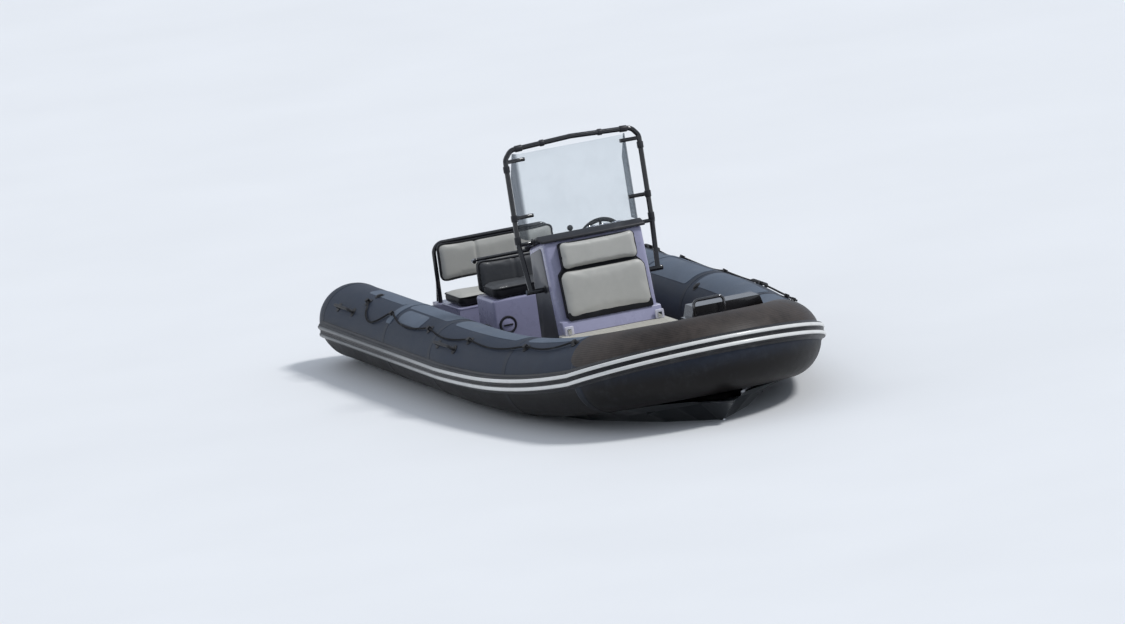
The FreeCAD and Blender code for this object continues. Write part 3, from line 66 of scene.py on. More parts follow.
def math_method(operation: str, swapped: bool = False) -> Callable[["Wire", object], "Wire"]:
    """An operator of a wire that adds one Math node.

    Args:
        operation: the node's operation.
        swapped: whether the sides are swapped, as a reflected operator needs.

    Returns:
        The operator.
    """

    def method(wire: "Wire", other: object) -> "Wire":
        """Joins a wire and another wire or number."""
        first, second = (other, wire) if swapped else (wire, other)
        return wire.graph.node("ShaderNodeMath", {"operation": operation}, {0: first, 1: second})

    return method


class Wire:
    """A shader socket that takes part in sums, differences and products."""

    __add__, __radd__ = math_method("ADD"), math_method("ADD", True)
    __sub__, __rsub__ = math_method("SUBTRACT"), math_method("SUBTRACT", True)
    __mul__, __rmul__ = math_method("MULTIPLY"), math_method("MULTIPLY", True)

    def __init__(self, graph: "Graph", socket: bpy.types.NodeSocket) -> None:
        """Keeps the socket and the graph that it belongs to."""
        self.graph = graph
        self.socket = socket

    def apply(self, operation: str, other: float = 0.0) -> "Wire":
        """Any other Math operation, such as SINE, ABSOLUTE or MINIMUM."""
        return math_method(operation)(self, other)

    def ramp(self, low: float, high: float, start: float = 0.0, end: float = 1.0) -> "Wire":
        """A smooth step of this value.

        Args:
            low: value where the step starts.
            high: value where the step ends.
            start: result below the step.
            end: result above the step.

        Returns:
            The stepped value.
        """
        return self.graph.node("ShaderNodeMapRange", {"interpolation_type": "SMOOTHSTEP"},
                               {0: self, 1: low, 2: high, 3: start, 4: end})


class Graph:
    """A material's node tree, to which one method adds any node."""

    def __init__(self, name: str) -> None:
        """Makes an empty material.

        Args:
            name: the material's name.
        """
        self.material = bpy.data.materials.new(name)
        self.material.use_nodes = True
        self.tree = self.material.node_tree
        self.tree.nodes.clear()

    def node(self, kind: str, settings: dict | None = None, inputs: dict | None = None,
             output: int | str = 0) -> Wire:
        """Adds a node.

        Args:
            kind: the node's type.
            settings: properties that are set first.
            inputs: values or wires by socket name or number.
            output: name or number of the output that is returned.

        Returns:
            The chosen output.
        """
        made = self.tree.nodes.new(kind)
        for key, value in (settings or {}).items():
            setattr(made, key, value)
        for key, value in (inputs or {}).items():
            if isinstance(value, Wire):
                self.tree.links.new(value.socket, made.inputs[key])
            else:
                made.inputs[key].default_value = value
        return Wire(self, made.outputs[output])

    def place(self) -> Wire:
        """Object coordinates in metres."""
        return self.node("ShaderNodeTexCoord", output="Object")

    def uv(self) -> Wire:
        """The piece's own surface coordinates, in metres."""
        return self.node("ShaderNodeTexCoord", output="UV")

    def part(self, vector: Wire, axis: str) -> Wire:
        """One part, X, Y or Z, of a vector."""
        return self.node("ShaderNodeSeparateXYZ", {}, {0: vector}, axis)

    def noise(self, vector: Wire, scale: float, detail: float = 3.0, rough: float = 0.5) -> Wire:
        """Smooth noise from 0 to 1."""
        return self.node("ShaderNodeTexNoise", {}, {"Vector": vector, "Scale": scale, "Detail": detail,
                                                    "Roughness": rough})

    def cells(self, vector: Wire, scale: float, feature: str = "F1") -> Wire:
        """Distance to the nearest cell point, for leather and stipple."""
        return self.node("ShaderNodeTexVoronoi", {"feature": feature}, {"Vector": vector, "Scale": scale})

    def mix(self, share: object, first: object, second: object) -> Wire:
        """A blend of two colours."""
        return self.node("ShaderNodeMix", {"data_type": "RGBA"}, {0: share, 6: first, 7: second}, 2)

    def bump(self, height: Wire, distance: float, strength: float = 1.0, below: Wire | None = None) -> Wire:
        """A normal from a height.

        Args:
            height: height in shares of the distance.
            distance: depth of the relief in metres.
            strength: share of the effect.
            below: a normal that this one is added to.

        Returns:
            The normal.
        """
        inputs = {"Height": height, "Distance": distance, "Strength": strength}
        if below is not None:
            inputs["Normal"] = below
        return self.node("ShaderNodeBump", {}, inputs)

    def finish(self, values: dict) -> bpy.types.Material:
        """Ends the tree in a Principled shader with the given sockets, by name."""
        return self.ended(self.node("ShaderNodeBsdfPrincipled", {}, values))

    def ended(self, shader: Wire) -> bpy.types.Material:
        """Links a shader to the output.

        Args:
            shader: the shader that ends the tree.

        Returns:
            The material.
        """
        out = self.tree.nodes.new("ShaderNodeOutputMaterial")
        self.tree.links.new(shader.socket, out.inputs["Surface"])
        return self.material


def rgba(colour: Colour, factor: float = 1.0) -> tuple[float, float, float, float]:
    """A colour socket's value, lightened or darkened by a factor."""
    return tuple(min(1.0, c * factor) for c in colour) + (1.0,)


# Finishes ----------------------------------------------------------------------------------------


class Grain(Enum):
    """Fine relief of a finish."""

    SMOOTH = "smooth"
    WEAVE = "weave"
    LEATHER = "leather"
    STIPPLE = "stipple"
    RIBS = "ribs"
    PEEL = "peel"


@dataclass(frozen=True)
class Finish:
    """A finish with soft colour changes, fine relief and a little dust and wear.

    Lengths are in metres, and the colour is linear. The relief is its kind, size and depth. A fade paints light and
    shade.
    It names an axis and the two places between which the fade colour, a painted shade, gives way to the finish's own,
    which on the pale stripes is a painted highlight. ROUND stands for the sine of the angle round the tube.
    """

    name: str
    slot: str
    colour: Colour
    roughness: float = 0.5
    metallic: float = 0.0
    coat: float = 0.0
    specular: float = 0.5
    relief: tuple[Grain, float, float] = (Grain.SMOOTH, 0.002, 0.0002)
    mottle: float = 0.10
    dust: float = 0.05
    dust_colour: Colour = (0.42, 0.42, 0.41)
    on_surface: bool = False
    painted_light_fade: tuple[str, float, float] | None = None
    painted_light_fade_colour: Colour = (0.0, 0.0, 0.0)

    def height(self, graph: Graph, where: Wire) -> Wire | None:
        """Height of the fine relief from 0 to 1.

        Args:
            graph: the material's graph.
            where: coordinates in metres.

        Returns:
            The height, or None for a smooth finish.
        """
        grain, size, _ = self.relief
        per_metre = 1.0 / size
        if grain is Grain.WEAVE:
            x, y = (graph.part(where, axis) * (TURN * per_metre) for axis in "XY")
            return x.apply("SINE") * y.apply("SINE") * 0.5 + 0.5
        if grain is Grain.LEATHER:
            return graph.cells(where, per_metre, "SMOOTH_F1") * 0.7 + graph.noise(where, per_metre * 0.5) * 0.5
        if grain is Grain.STIPPLE:
            return graph.cells(where, per_metre).ramp(0.1, 0.5, 1.0, 0.0)
        if grain is Grain.RIBS:
            return (graph.part(where, "Y") * (TURN * per_metre)).apply("SINE").ramp(-0.7, 0.5)
        if grain is Grain.PEEL:
            return graph.noise(where, per_metre, 2.0)
        return None

    def build(self) -> bpy.types.Material:
        """Makes the material.

        Returns:
            The material with its node tree.
        """
        graph = Graph(self.name)
        place = graph.place()
        where = graph.uv() if self.on_surface else place
        broad = graph.noise(place, 2.3, 4.0, 0.55)
        fine = graph.noise(place, 19.0, 5.0, 0.6)
        tone = (broad * 0.6 + fine * 0.4).ramp(0.3, 0.7)
        colour = graph.mix(tone, rgba(self.colour, 1 - self.mottle), rgba(self.colour, 1 + self.mottle))
        # painted light: the fade's darker tone paints shade on the tube's underside and the tapes, and dims the
        # stripes' painted highlight aft
        if self.painted_light_fade:
            axis, start, end = self.painted_light_fade
            if axis == "ROUND":
                along = (graph.part(graph.uv(), "Y") * (1 / TUBE_RADIUS)).apply("SINE")
            else:
                along = graph.part(place, axis)
            share = (along + (fine - 0.5) * (0.2 * abs(end - start))).ramp(start, end)
            colour = graph.mix(share, rgba(self.painted_light_fade_colour), colour)
        speck = graph.noise(place, 7.0, 6.0, 0.7).ramp(0.48, 0.78, 0.0, self.dust)
        colour = graph.mix(speck, colour, rgba(self.dust_colour))
        rough = (tone * 0.12 + speck * 0.8 + (self.roughness - 0.06)).apply("MINIMUM", 1.0)
        values = {"Base Color": colour, "Roughness": rough, "Metallic": self.metallic,
                  "Coat Weight": self.coat, "Coat Roughness": 0.08, "Specular IOR Level": self.specular}
        height = self.height(graph, where)
        soft = graph.bump(graph.noise(place, 5.0, 2.0), 0.0015, 0.35)
        values["Normal"] = soft if height is None else graph.bump(height, self.relief[2], 1.0, soft)
        return graph.finish(values)


@dataclass(frozen=True)
class ClearSheet:
    """A clear acrylic pane whose side wings are darker."""

    name: str = "clear_sheet"
    slot: str = "clear_sheet"
    tint: Colour = (0.93, 0.95, 0.96)
    wing: Colour = (0.20, 0.22, 0.25)
    cover: float = 0.06

    def build(self) -> bpy.types.Material:
        """Makes a thin clear material: mostly see-through, with a little gloss and faint smears.

        Returns:
            The material with its node tree.
        """
        graph = Graph(self.name)
        smear = graph.noise(graph.place(), 4.0, 4.0).ramp(0.4, 0.8, 0.0, 0.06)
        pane = graph.node("ShaderNodeBsdfTransparent", {}, {"Color": rgba(self.tint)})
        dark = graph.node("ShaderNodeBsdfTransparent", {}, {"Color": rgba(self.wing)})
        side = graph.part(graph.place(), "Y").apply("ABSOLUTE").ramp(0.372, 0.398, 0.0, 0.7)
        clear = graph.node("ShaderNodeMixShader", {}, {0: side, 1: pane, 2: dark})
        gloss = graph.node("ShaderNodeBsdfPrincipled", {}, {"Base Color": (0.55, 0.58, 0.60, 1.0),
                                                            "Roughness": 0.06})
        return graph.ended(graph.node("ShaderNodeMixShader", {}, {0: smear + self.cover, 1: clear, 2: gloss}))


class Palette:
    """Every finish of the boat, each built once."""

    # the tube is darkened towards its underside by the ROUND fade: painted shade
    TUBE = Finish("tube_fabric", "tube_fabric", (0.024, 0.032, 0.050), 0.5, specular=0.14, coat=0.03,
                  relief=(Grain.WEAVE, 0.0035, 0.00012), mottle=0.14, dust=0.08, on_surface=True,
                  dust_colour=(0.16, 0.18, 0.20), painted_light_fade=("ROUND", -0.35, 0.42), painted_light_fade_colour=(0.010, 0.009, 0.009))
    # the tapes are darkened towards the bottom by the Z fade: painted shade
    TAPE = Finish("tube_tape", "tube_fabric", (0.019, 0.025, 0.038), 0.46, specular=0.16, coat=0.04,
                  relief=(Grain.WEAVE, 0.003, 0.0001), dust=0.05, on_surface=True, dust_colour=(0.16, 0.18, 0.20),
                  painted_light_fade=("Z", 0.08, 0.46), painted_light_fade_colour=(0.008, 0.007, 0.007))
    PATCH = Finish("patch_fabric", "tube_fabric", (0.098, 0.122, 0.160), 0.62, specular=0.2,
                   relief=(Grain.STIPPLE, 0.006, 0.0005), mottle=0.12, dust=0.12, on_surface=True)
    STRAKE = Finish("strake_rubber", "strake_rubber", (0.020, 0.020, 0.022), 0.42, specular=0.2, coat=0.1, mottle=0.2,
                    dust=0.1)
    # the stripes are partly real pale ribs and partly painted highlight: the X fade makes them bright forward, where
    # sun glare lit them, and dark aft
    STRIPE = Finish("strake_light", "strake_light", (0.66, 0.66, 0.64), 0.34, coat=0.25, mottle=0.06, dust=0.16,
                    dust_colour=(0.25, 0.25, 0.24), painted_light_fade=("X", -1.6, 1.3), painted_light_fade_colour=(0.050, 0.054, 0.056))
    PAD = Finish("bow_pad_rubber", "bow_pad_rubber", (0.042, 0.034, 0.030), 0.46, specular=0.2,
                 relief=(Grain.RIBS, 0.016, 0.0007), mottle=0.45, dust=0.18, dust_colour=(0.15, 0.12, 0.10),
                 on_surface=True)
    HULL = Finish("hull_gelcoat", "hull_gelcoat", (0.012, 0.014, 0.016), 0.12, specular=0.25, coat=0.6,
                  relief=(Grain.PEEL, 0.02, 0.0002), dust=0.03)
    DECK = Finish("deck_gelcoat", "deck_gelcoat", (0.30, 0.30, 0.32), 0.55, relief=(Grain.STIPPLE, 0.009, 0.0008),
                  mottle=0.08, dust=0.10)
    TREAD = Finish("deck_tread", "deck_gelcoat", (0.17, 0.17, 0.185), 0.7, relief=(Grain.STIPPLE, 0.007, 0.0014),
                   mottle=0.12, dust=0.12)
    GELCOAT = Finish("console_gelcoat", "console_gelcoat", (0.315, 0.312, 0.445), 0.28, coat=0.35,
                     relief=(Grain.PEEL, 0.03, 0.00025), mottle=0.03, dust=0.03)
    PLASTIC = Finish("dark_plastic", "dark_plastic", (0.022, 0.022, 0.026), 0.42, specular=0.3,
                     relief=(Grain.STIPPLE, 0.0025, 0.0001), mottle=0.15, dust=0.06)
    RUBBER = Finish("fitting_rubber", "dark_plastic", (0.016, 0.016, 0.018), 0.5, specular=0.25, mottle=0.2,
                    dust=0.08)
    PALE = Finish("light_plastic", "light_plastic", (0.62, 0.61, 0.70), 0.3, coat=0.2, mottle=0.03, dust=0.03)
    SEAT_PAD = Finish("seat_pad", "seat_pad", (0.50, 0.48, 0.42), 0.6, relief=(Grain.STIPPLE, 0.005, 0.0004),
                      mottle=0.08, dust=0.08)
    VINYL = Finish("cushion_vinyl", "cushion_vinyl", (0.425, 0.418, 0.385), 0.46, coat=0.05,
                   relief=(Grain.LEATHER, 0.004, 0.0005), mottle=0.05, dust=0.05)
    VINYL_DARK = Finish("cushion_dark", "cushion_dark", (0.060, 0.062, 0.066), 0.45, specular=0.22, coat=0.05,
                        relief=(Grain.LEATHER, 0.004, 0.0005), mottle=0.1, dust=0.06)
    PIPING = Finish("cushion_piping", "cushion_dark", (0.014, 0.014, 0.016), 0.4, specular=0.15,
                    relief=(Grain.LEATHER, 0.003, 0.0003), mottle=0.1, dust=0.03)
    BAR = Finish("black_tube", "black_tube", (0.012, 0.012, 0.014), 0.22, specular=0.3, coat=0.7,
                 relief=(Grain.PEEL, 0.01, 0.0001), mottle=0.1, dust=0.03)
    STEEL = Finish("polished_steel", "steel", (0.60, 0.61, 0.62), 0.16, metallic=1.0, mottle=0.05, dust=0.03)
    DARK_STEEL = Finish("dark_steel", "steel", (0.10, 0.10, 0.105), 0.14, metallic=1.0, coat=0.4, mottle=0.2,
                        dust=0.04)
    # SIDE is painted shade: the dark sheet laid over the console's sides
    SIDE = Finish("console_side", "dark_plastic", (0.060, 0.060, 0.068), 0.35, specular=0.25, coat=0.3,
                  relief=(Grain.PEEL, 0.03, 0.0003), mottle=0.25, dust=0.10, dust_colour=(0.22, 0.21, 0.22))
    ENGINE = Finish("engine_grey", "engine_grey", (0.20, 0.21, 0.22), 0.4, coat=0.2, dust=0.12)
    DRIVE = Finish("drive_black", "drive_black", (0.022, 0.022, 0.026), 0.33, specular=0.3, coat=0.35,
                   relief=(Grain.PEEL, 0.004, 0.0001), dust=0.08)
    PROP = Finish("prop_alloy", "prop_alloy", (0.05, 0.05, 0.055), 0.3, metallic=0.7, coat=0.2, dust=0.1)
    ROPE = Finish("rope_black", "rope_black", (0.018, 0.018, 0.020), 0.8, specular=0.15,
                  relief=(Grain.WEAVE, 0.008, 0.001), mottle=0.3, dust=0.12, on_surface=True)
    CLEAR = ClearSheet()
    _made: dict[str, bpy.types.Material] = {}

    @classmethod
    def material(cls, finish: Finish | ClearSheet) -> bpy.types.Material:
        """The finish's material, made when it is first asked for.

        Args:
            finish: a finish of the palette.

        Returns:
            Its material.
        """
        if finish.name not in cls._made:
            cls._made[finish.name] = finish.build()
        return cls._made[finish.name]


# Surfaces ----------------------------------------------------------------------------------------


@dataclass
class Surface:
    """Vertices and faces gathered from grids, loops and rods, made into one piece at the end."""

    points: list[Array] = field(default_factory=list)
    faces: list[list[int]] = field(default_factory=list)
    maps: list[Array] = field(default_factory=list)
    count: int = 0

    def grid(self, points: Array, wrap_u: bool = False, wrap_v: bool = False, cap_start: bool = False,
             cap_end: bool = False, uv: Array | None = None, flip: bool = False) -> "Surface":
        """Adds a grid of quads.

        Args:
            points: an array of rows, columns and 3 coordinates.
            wrap_u: whether the last row joins the first.
            wrap_v: whether the last column joins the first.
            cap_start: whether the first row is closed by one face.
            cap_end: whether the last row is closed by one face.
            uv: surface coordinates in metres, rows by columns by 2.
            flip: whether faces are turned over.

        Returns:
            The surface itself.
        """
        rows, columns = points.shape[:2]
        index = np.arange(rows * columns).reshape(rows, columns) + self.count
        if wrap_u:
            index = np.vstack([index, index[:1]])
        if wrap_v:
            index = np.hstack([index, index[:, :1]])
        quads = np.stack([index[:-1, :-1], index[1:, :-1], index[1:, 1:], index[:-1, 1:]], axis=-1).reshape(-1, 4)
        if flip:
            quads = quads[:, ::-1]
        self.faces += quads.tolist()
        ring = np.arange(columns) + self.count
        last = ring + (rows - 1) * columns
        if cap_start:
            self.faces.append((ring[::-1] if flip else ring).tolist())
        if cap_end:
            self.faces.append((last if flip else last[::-1]).tolist())
        self.points.append(points.reshape(-1, 3))
        self.maps.append(np.zeros((rows * columns, 2)) if uv is None else uv.reshape(-1, 2))
        self.count += rows * columns
        return self

    def mirrored(self) -> "Surface":
        """Adds the port twin of everything gathered so far.

        Returns:
            The surface itself.
        """
        points = np.vstack(self.points) * np.array([1, -1, 1])
        faces = [[i + self.count for i in reversed(face)] for face in self.faces]
        self.points.append(points)
        self.maps.append(np.vstack(self.maps))
        self.faces += faces
        self.count += len(points)
        return self

    def piece(self, name: str, finish: Finish | ClearSheet, body: str = "boat", replaces: tuple[str, ...] = (),
              sharp: float = 40.0, closed: bool = True) -> bpy.types.Object:
        """Makes the object, gives it its finish and lets it ride.

        Args:
            name: the piece's name.
            finish: what it is finished with.
            body: the body that carries it.
            replaces: CAD nodes that it stands for.
            sharp: angle in degrees past which an edge stays sharp.
            closed: whether it is a closed piece, whose faces are turned outwards. Otherwise its points in one place
                are joined, and each face keeps its surface coordinates.

        Returns:
            The object.
        """
        mesh = bpy.data.meshes.new(name)
        mesh.from_pydata(np.vstack(self.points).tolist(), [], self.faces)
        if closed:
            turn_outwards(mesh)
        layer = mesh.uv_layers.new(name="surface")
        corner = np.empty(len(mesh.loops), dtype=np.int32)
        mesh.loops.foreach_get("vertex_index", corner)
        layer.data.foreach_set("uv", np.vstack(self.maps)[corner].ravel())
        if not closed:
            with reworked(mesh) as work:
                bmesh.ops.remove_doubles(work, verts=work.verts, dist=0.00001)
        shade_smooth(mesh)
        mesh.update()
        mesh.validate()
        mesh.set_sharp_from_angle(angle=math.radians(sharp))
        return settle(linked(name, mesh), finish, body, replaces)


def linked(name: str, data: bpy.types.ID) -> bpy.types.Object:
    """Puts a new object in the scene.

    Args:
        name: its name.
        data: its mesh, curve, light or camera.

    Returns:
        The object.
    """
    made = bpy.data.objects.new(name, data)
    bpy.context.scene.collection.objects.link(made)
    return made


@contextmanager
def reworked(mesh: bpy.types.Mesh) -> Iterator[bmesh.types.BMesh]:
    """A mesh opened for edits, which are written back at the end.

    Args:
        mesh: the mesh.

    Yields:
        Its editable copy.
    """
    work = bmesh.new()
    work.from_mesh(mesh)
    yield work
    work.to_mesh(mesh)
    work.free()


def turn_outwards(mesh: bpy.types.Mesh) -> None:
    """Makes a closed mesh's faces point outwards."""
    with reworked(mesh) as work:
        bmesh.ops.recalc_face_normals(work, faces=work.faces)


def shade_smooth(mesh: bpy.types.Mesh) -> None:
    """Marks every face as smooth."""
    mesh.polygons.foreach_set("use_smooth", np.ones(len(mesh.polygons), dtype=bool))


def settle(made: bpy.types.Object, finish: Finish | ClearSheet, body: str,
           replaces: tuple[str, ...] = ()) -> bpy.types.Object:
    """Dresses an object and ties it to its body and to the solids.

    Args:
        made: the object.
        finish: its finish, which also names its slot.
        body: the body that carries it.
        replaces: CAD nodes that it stands for.

    Returns:
        The object.
    """
    made.data.materials.clear()
    made.data.materials.append(Palette.material(finish))
    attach(made, body)
    if replaces:
        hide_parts(*replaces)
    log.info("%s on %s", made.name, body)
    return made


def unit(vectors: Array) -> Array:
    """Vectors of length one."""
    return vectors / np.linalg.norm(vectors, axis=-1, keepdims=True)


def lengths(path: Array) -> Array:
    """Distance of each point along a path."""
    return np.concatenate([[0.0], np.cumsum(np.linalg.norm(np.diff(path, axis=0), axis=1))])


def rectangle(left: float, right: float, low: float, high: float) -> Corners:
    """Corners of a rectangle, anticlockwise."""
    return [(left, low), (right, low), (right, high), (left, high)]


def rounded_corners(corners: Array, radii: Array, inset: float = 0.0, steps: int = 6) -> Array:
    """A closed outline whose corners are arcs, drawn in by an inset.

    Each side moves in by the inset, neighbouring sides meet at the new corner, and an arc of the radius less the
    inset joins them: point = centre + radius * (cosine, sine) from one side's normal to the next.

    Args:
        corners: corners in turn, anticlockwise, as an array of n by 2.
        radii: the radius at each corner.
        inset: distance by which the outline is drawn in.
        steps: arc steps at each corner.

    Returns:
        An array of n * (steps + 1) by 2.
    """
    along = unit(np.roll(corners, -1, axis=0) - corners)
    normal = np.column_stack([along[:, 1], -along[:, 0]])
    before, after = np.roll(normal, 1, axis=0), normal
    half = unit(before + after)
    open_ = np.sum(half * after, axis=1)[:, None]
    moved = corners - half * (inset / open_)
    turn = np.arctan2(before[:, 0] * after[:, 1] - before[:, 1] * after[:, 0], np.sum(before * after, axis=1))
    radius = np.maximum(radii - inset * np.sign(turn), 1e-4)
    side = np.where(turn >= 0, 1.0, -1.0)
    centre = moved - half * (side * radius)[:, None] / open_
    start = np.arctan2(before[:, 1], before[:, 0])
    angle = start[:, None] + turn[:, None] * np.linspace(0, 1, steps + 1)[None]
    arc = np.stack([np.cos(angle), np.sin(angle)], axis=-1)
    return (centre[:, None] + (side * radius)[:, None, None] * arc).reshape(-1, 2)


class Plane(Enum):
    """Where a flat outline is drawn: its two directions, and the one that it is carried along."""

    SIDE = (0, 2, 1)
    TOP = (0, 1, 2)
    FRONT = (1, 2, 0)


def moulding(corners: Corners, radii: float | list[float], low: float, high: float, plane: Plane,
             edge: float = 0.006, steps: int = 6) -> Array:
    """A solid moulding: an outline carried from low to high, with rounded rims at both ends.

    At a rim angle t the outline is drawn in by edge * (1 - cos t) and stands at high - edge * (1 - sin t).

    Args:
        corners: the outline's corners.
        radii: one corner radius, or one for each corner.
        low: where the moulding starts on the third direction.
        high: where it ends.
        plane: the plane of the outline.
        edge: radius of the rims.
        steps: arc steps at each corner.

    Returns:
        Loops as an array of rings, points and 3 coordinates.
    """
    outline = np.array(corners, dtype=float)
    if polygon_area(outline) < 0:
        outline = outline[::-1]
        radii = radii if np.isscalar(radii) else list(radii)[::-1]
    radius = np.full(len(outline), radii, dtype=float) if np.isscalar(radii) else np.array(radii, dtype=float)
    angles = np.linspace(0, math.pi / 2, 5)
    start = [(edge * (1 - math.sin(t)), edge * (1 - math.cos(t))) for t in angles]
    levels = [(low + a, b) for a, b in start[::-1]] + [(high - a, b) for a, b in start]
    rings = []
    first, second, third = plane.value
    for level, inset in levels:
        flat = rounded_corners(outline, radius, inset, steps)
        ring = np.empty((len(flat), 3))
        ring[:, first], ring[:, second], ring[:, third] = flat[:, 0], flat[:, 1], level
        rings.append(ring)
    return np.array(rings)


def polygon_area(outline: Array) -> float:
    """Signed area of a closed outline."""
    x, y = outline[:, 0], outline[:, 1]
    return 0.5 * float(np.sum(x * np.roll(y, -1) - y * np.roll(x, -1)))


def block(surface: Surface, corners: Corners, radii: float | list[float], low: float, high: float, plane: Plane,
          edge: float = 0.006, steps: int = 6, rake: tuple[float, float] = (0.0, 0.0)) -> Surface:
    """Adds a moulding as a closed solid.

    Args:
        surface: where it is added.
        corners: the outline's corners.
        radii: one corner radius, or one for each corner.
        low: where the moulding starts on the third direction.
        high: where it ends.
        plane: the plane of the outline.
        edge: radius of the rims.
        steps: arc steps at each corner.
        rake: a slope and a height. Points are drawn aft by slope * (z - height).

    Returns:
        The surface.
    """
    loops = moulding(corners, radii, low, high, plane, edge, steps)
    loops[..., 0] -= (loops[..., 2] - rake[1]) * rake[0]
    return surface.grid(loops, wrap_v=True, cap_start=True, cap_end=True, flip=plane is not Plane.SIDE)


def carried(path: Array, profile: Array, closed: bool = False) -> Array:
    """A profile carried along a path.

    Each ring is point + side * profile x + top * profile y, where side is the path's direction crossed with up,
    carried on without twist, and top is square to both.

    Args:
        path: points of n by 3.
        profile: an outline of m by 2, round the path.
        closed: whether the path joins up.

    Returns:
        Rings as an array of n, m and 3.
    """
    if closed:
        ahead = unit(np.roll(path, -1, axis=0) - np.roll(path, 1, axis=0))
    else:
        ahead = unit(np.gradient(path, axis=0))
    side = np.cross(ahead[0], [0.0, 0.0, 1.0])
    if np.linalg.norm(side) < 1e-6:
        side = np.cross(ahead[0], [1.0, 0.0, 0.0])
    sides = [unit(side)]
    for here in ahead[1:]:
        sides.append(unit(sides[-1] - here * (sides[-1] @ here)))
    sides = np.array(sides)
    tops = np.cross(sides, ahead)
    return path[:, None] + sides[:, None] * profile[None, :, :1] + tops[:, None] * profile[None, :, 1:]


def circle(radius: float, steps: int = 16) -> Array:
    """A round profile."""
    angle = np.linspace(0, TURN, steps, endpoint=False)
    return radius * np.column_stack([np.cos(angle), np.sin(angle)])


def rod(surface: Surface, path: Array, radius: float, steps: int = 16, closed: bool = False) -> Surface:
    """Adds a round bar along a path.

    Args:
        surface: where it is added.
        path: points of n by 3.
        radius: the bar's radius.
        steps: steps round it.
        closed: whether the path joins up.

    Returns:
        The surface.
    """
    rings = carried(path, circle(radius, steps), closed=closed)
    uv = np.stack(np.broadcast_arrays(lengths(path)[:, None], np.linspace(0, TURN * radius, steps)[None]), axis=-1)
    return surface.grid(rings, wrap_u=closed, wrap_v=True, cap_start=not closed, cap_end=not closed, uv=uv,
                        flip=True)


def spun(surface: Surface, profile: Corners, centre: Point, axis: Point, steps: int = 32) -> Surface:
    """Adds a profile turned round an axis.

    Point = centre + axis * height + radius * (cosine * side + sine * top).

    Args:
        surface: where it is added.
        profile: pairs of radius and height, from the lower middle to the upper middle.
        centre: a point on the axis.
        axis: the axis direction.
        steps: steps round the axis.

    Returns:
        The surface.
    """
    table = np.array(profile, dtype=float)
    way = unit(np.array(axis, dtype=float))
    guide = np.array([0.0, 0.0, 1.0]) if abs(way[2]) < 0.9 else np.array([1.0, 0.0, 0.0])
    side = unit(np.cross(guide, way))
    top = np.cross(way, side)
    angle = np.linspace(0, TURN, steps, endpoint=False)
    ring = np.cos(angle)[:, None] * side + np.sin(angle)[:, None] * top
    rows = np.array(centre) + table[:, 1][:, None, None] * way + table[:, 0][:, None, None] * ring[None]
    return surface.grid(rows, wrap_v=True, cap_start=True, cap_end=True, flip=True)


# Collar ------------------------------------------------------------------------------------------


def corner_drop(d: Array, length: float, corner: float) -> Array:
    """How far a round corner draws an edge in at a distance d from the end: c - sqrt(c * c - (c - d) ** 2)."""
    into = np.clip(corner - np.minimum(d, length - d), 0, None)
    return corner - np.sqrt(np.clip(corner ** 2 - into ** 2, 0, None))


def heading(turn: float, slope: float) -> Array:
    """A direction from a plan turn and a slope in degrees."""
    a, b = math.radians(turn), math.radians(slope)
    return np.array([math.cos(a) * math.cos(b), math.sin(a), math.cos(a) * math.sin(b)])


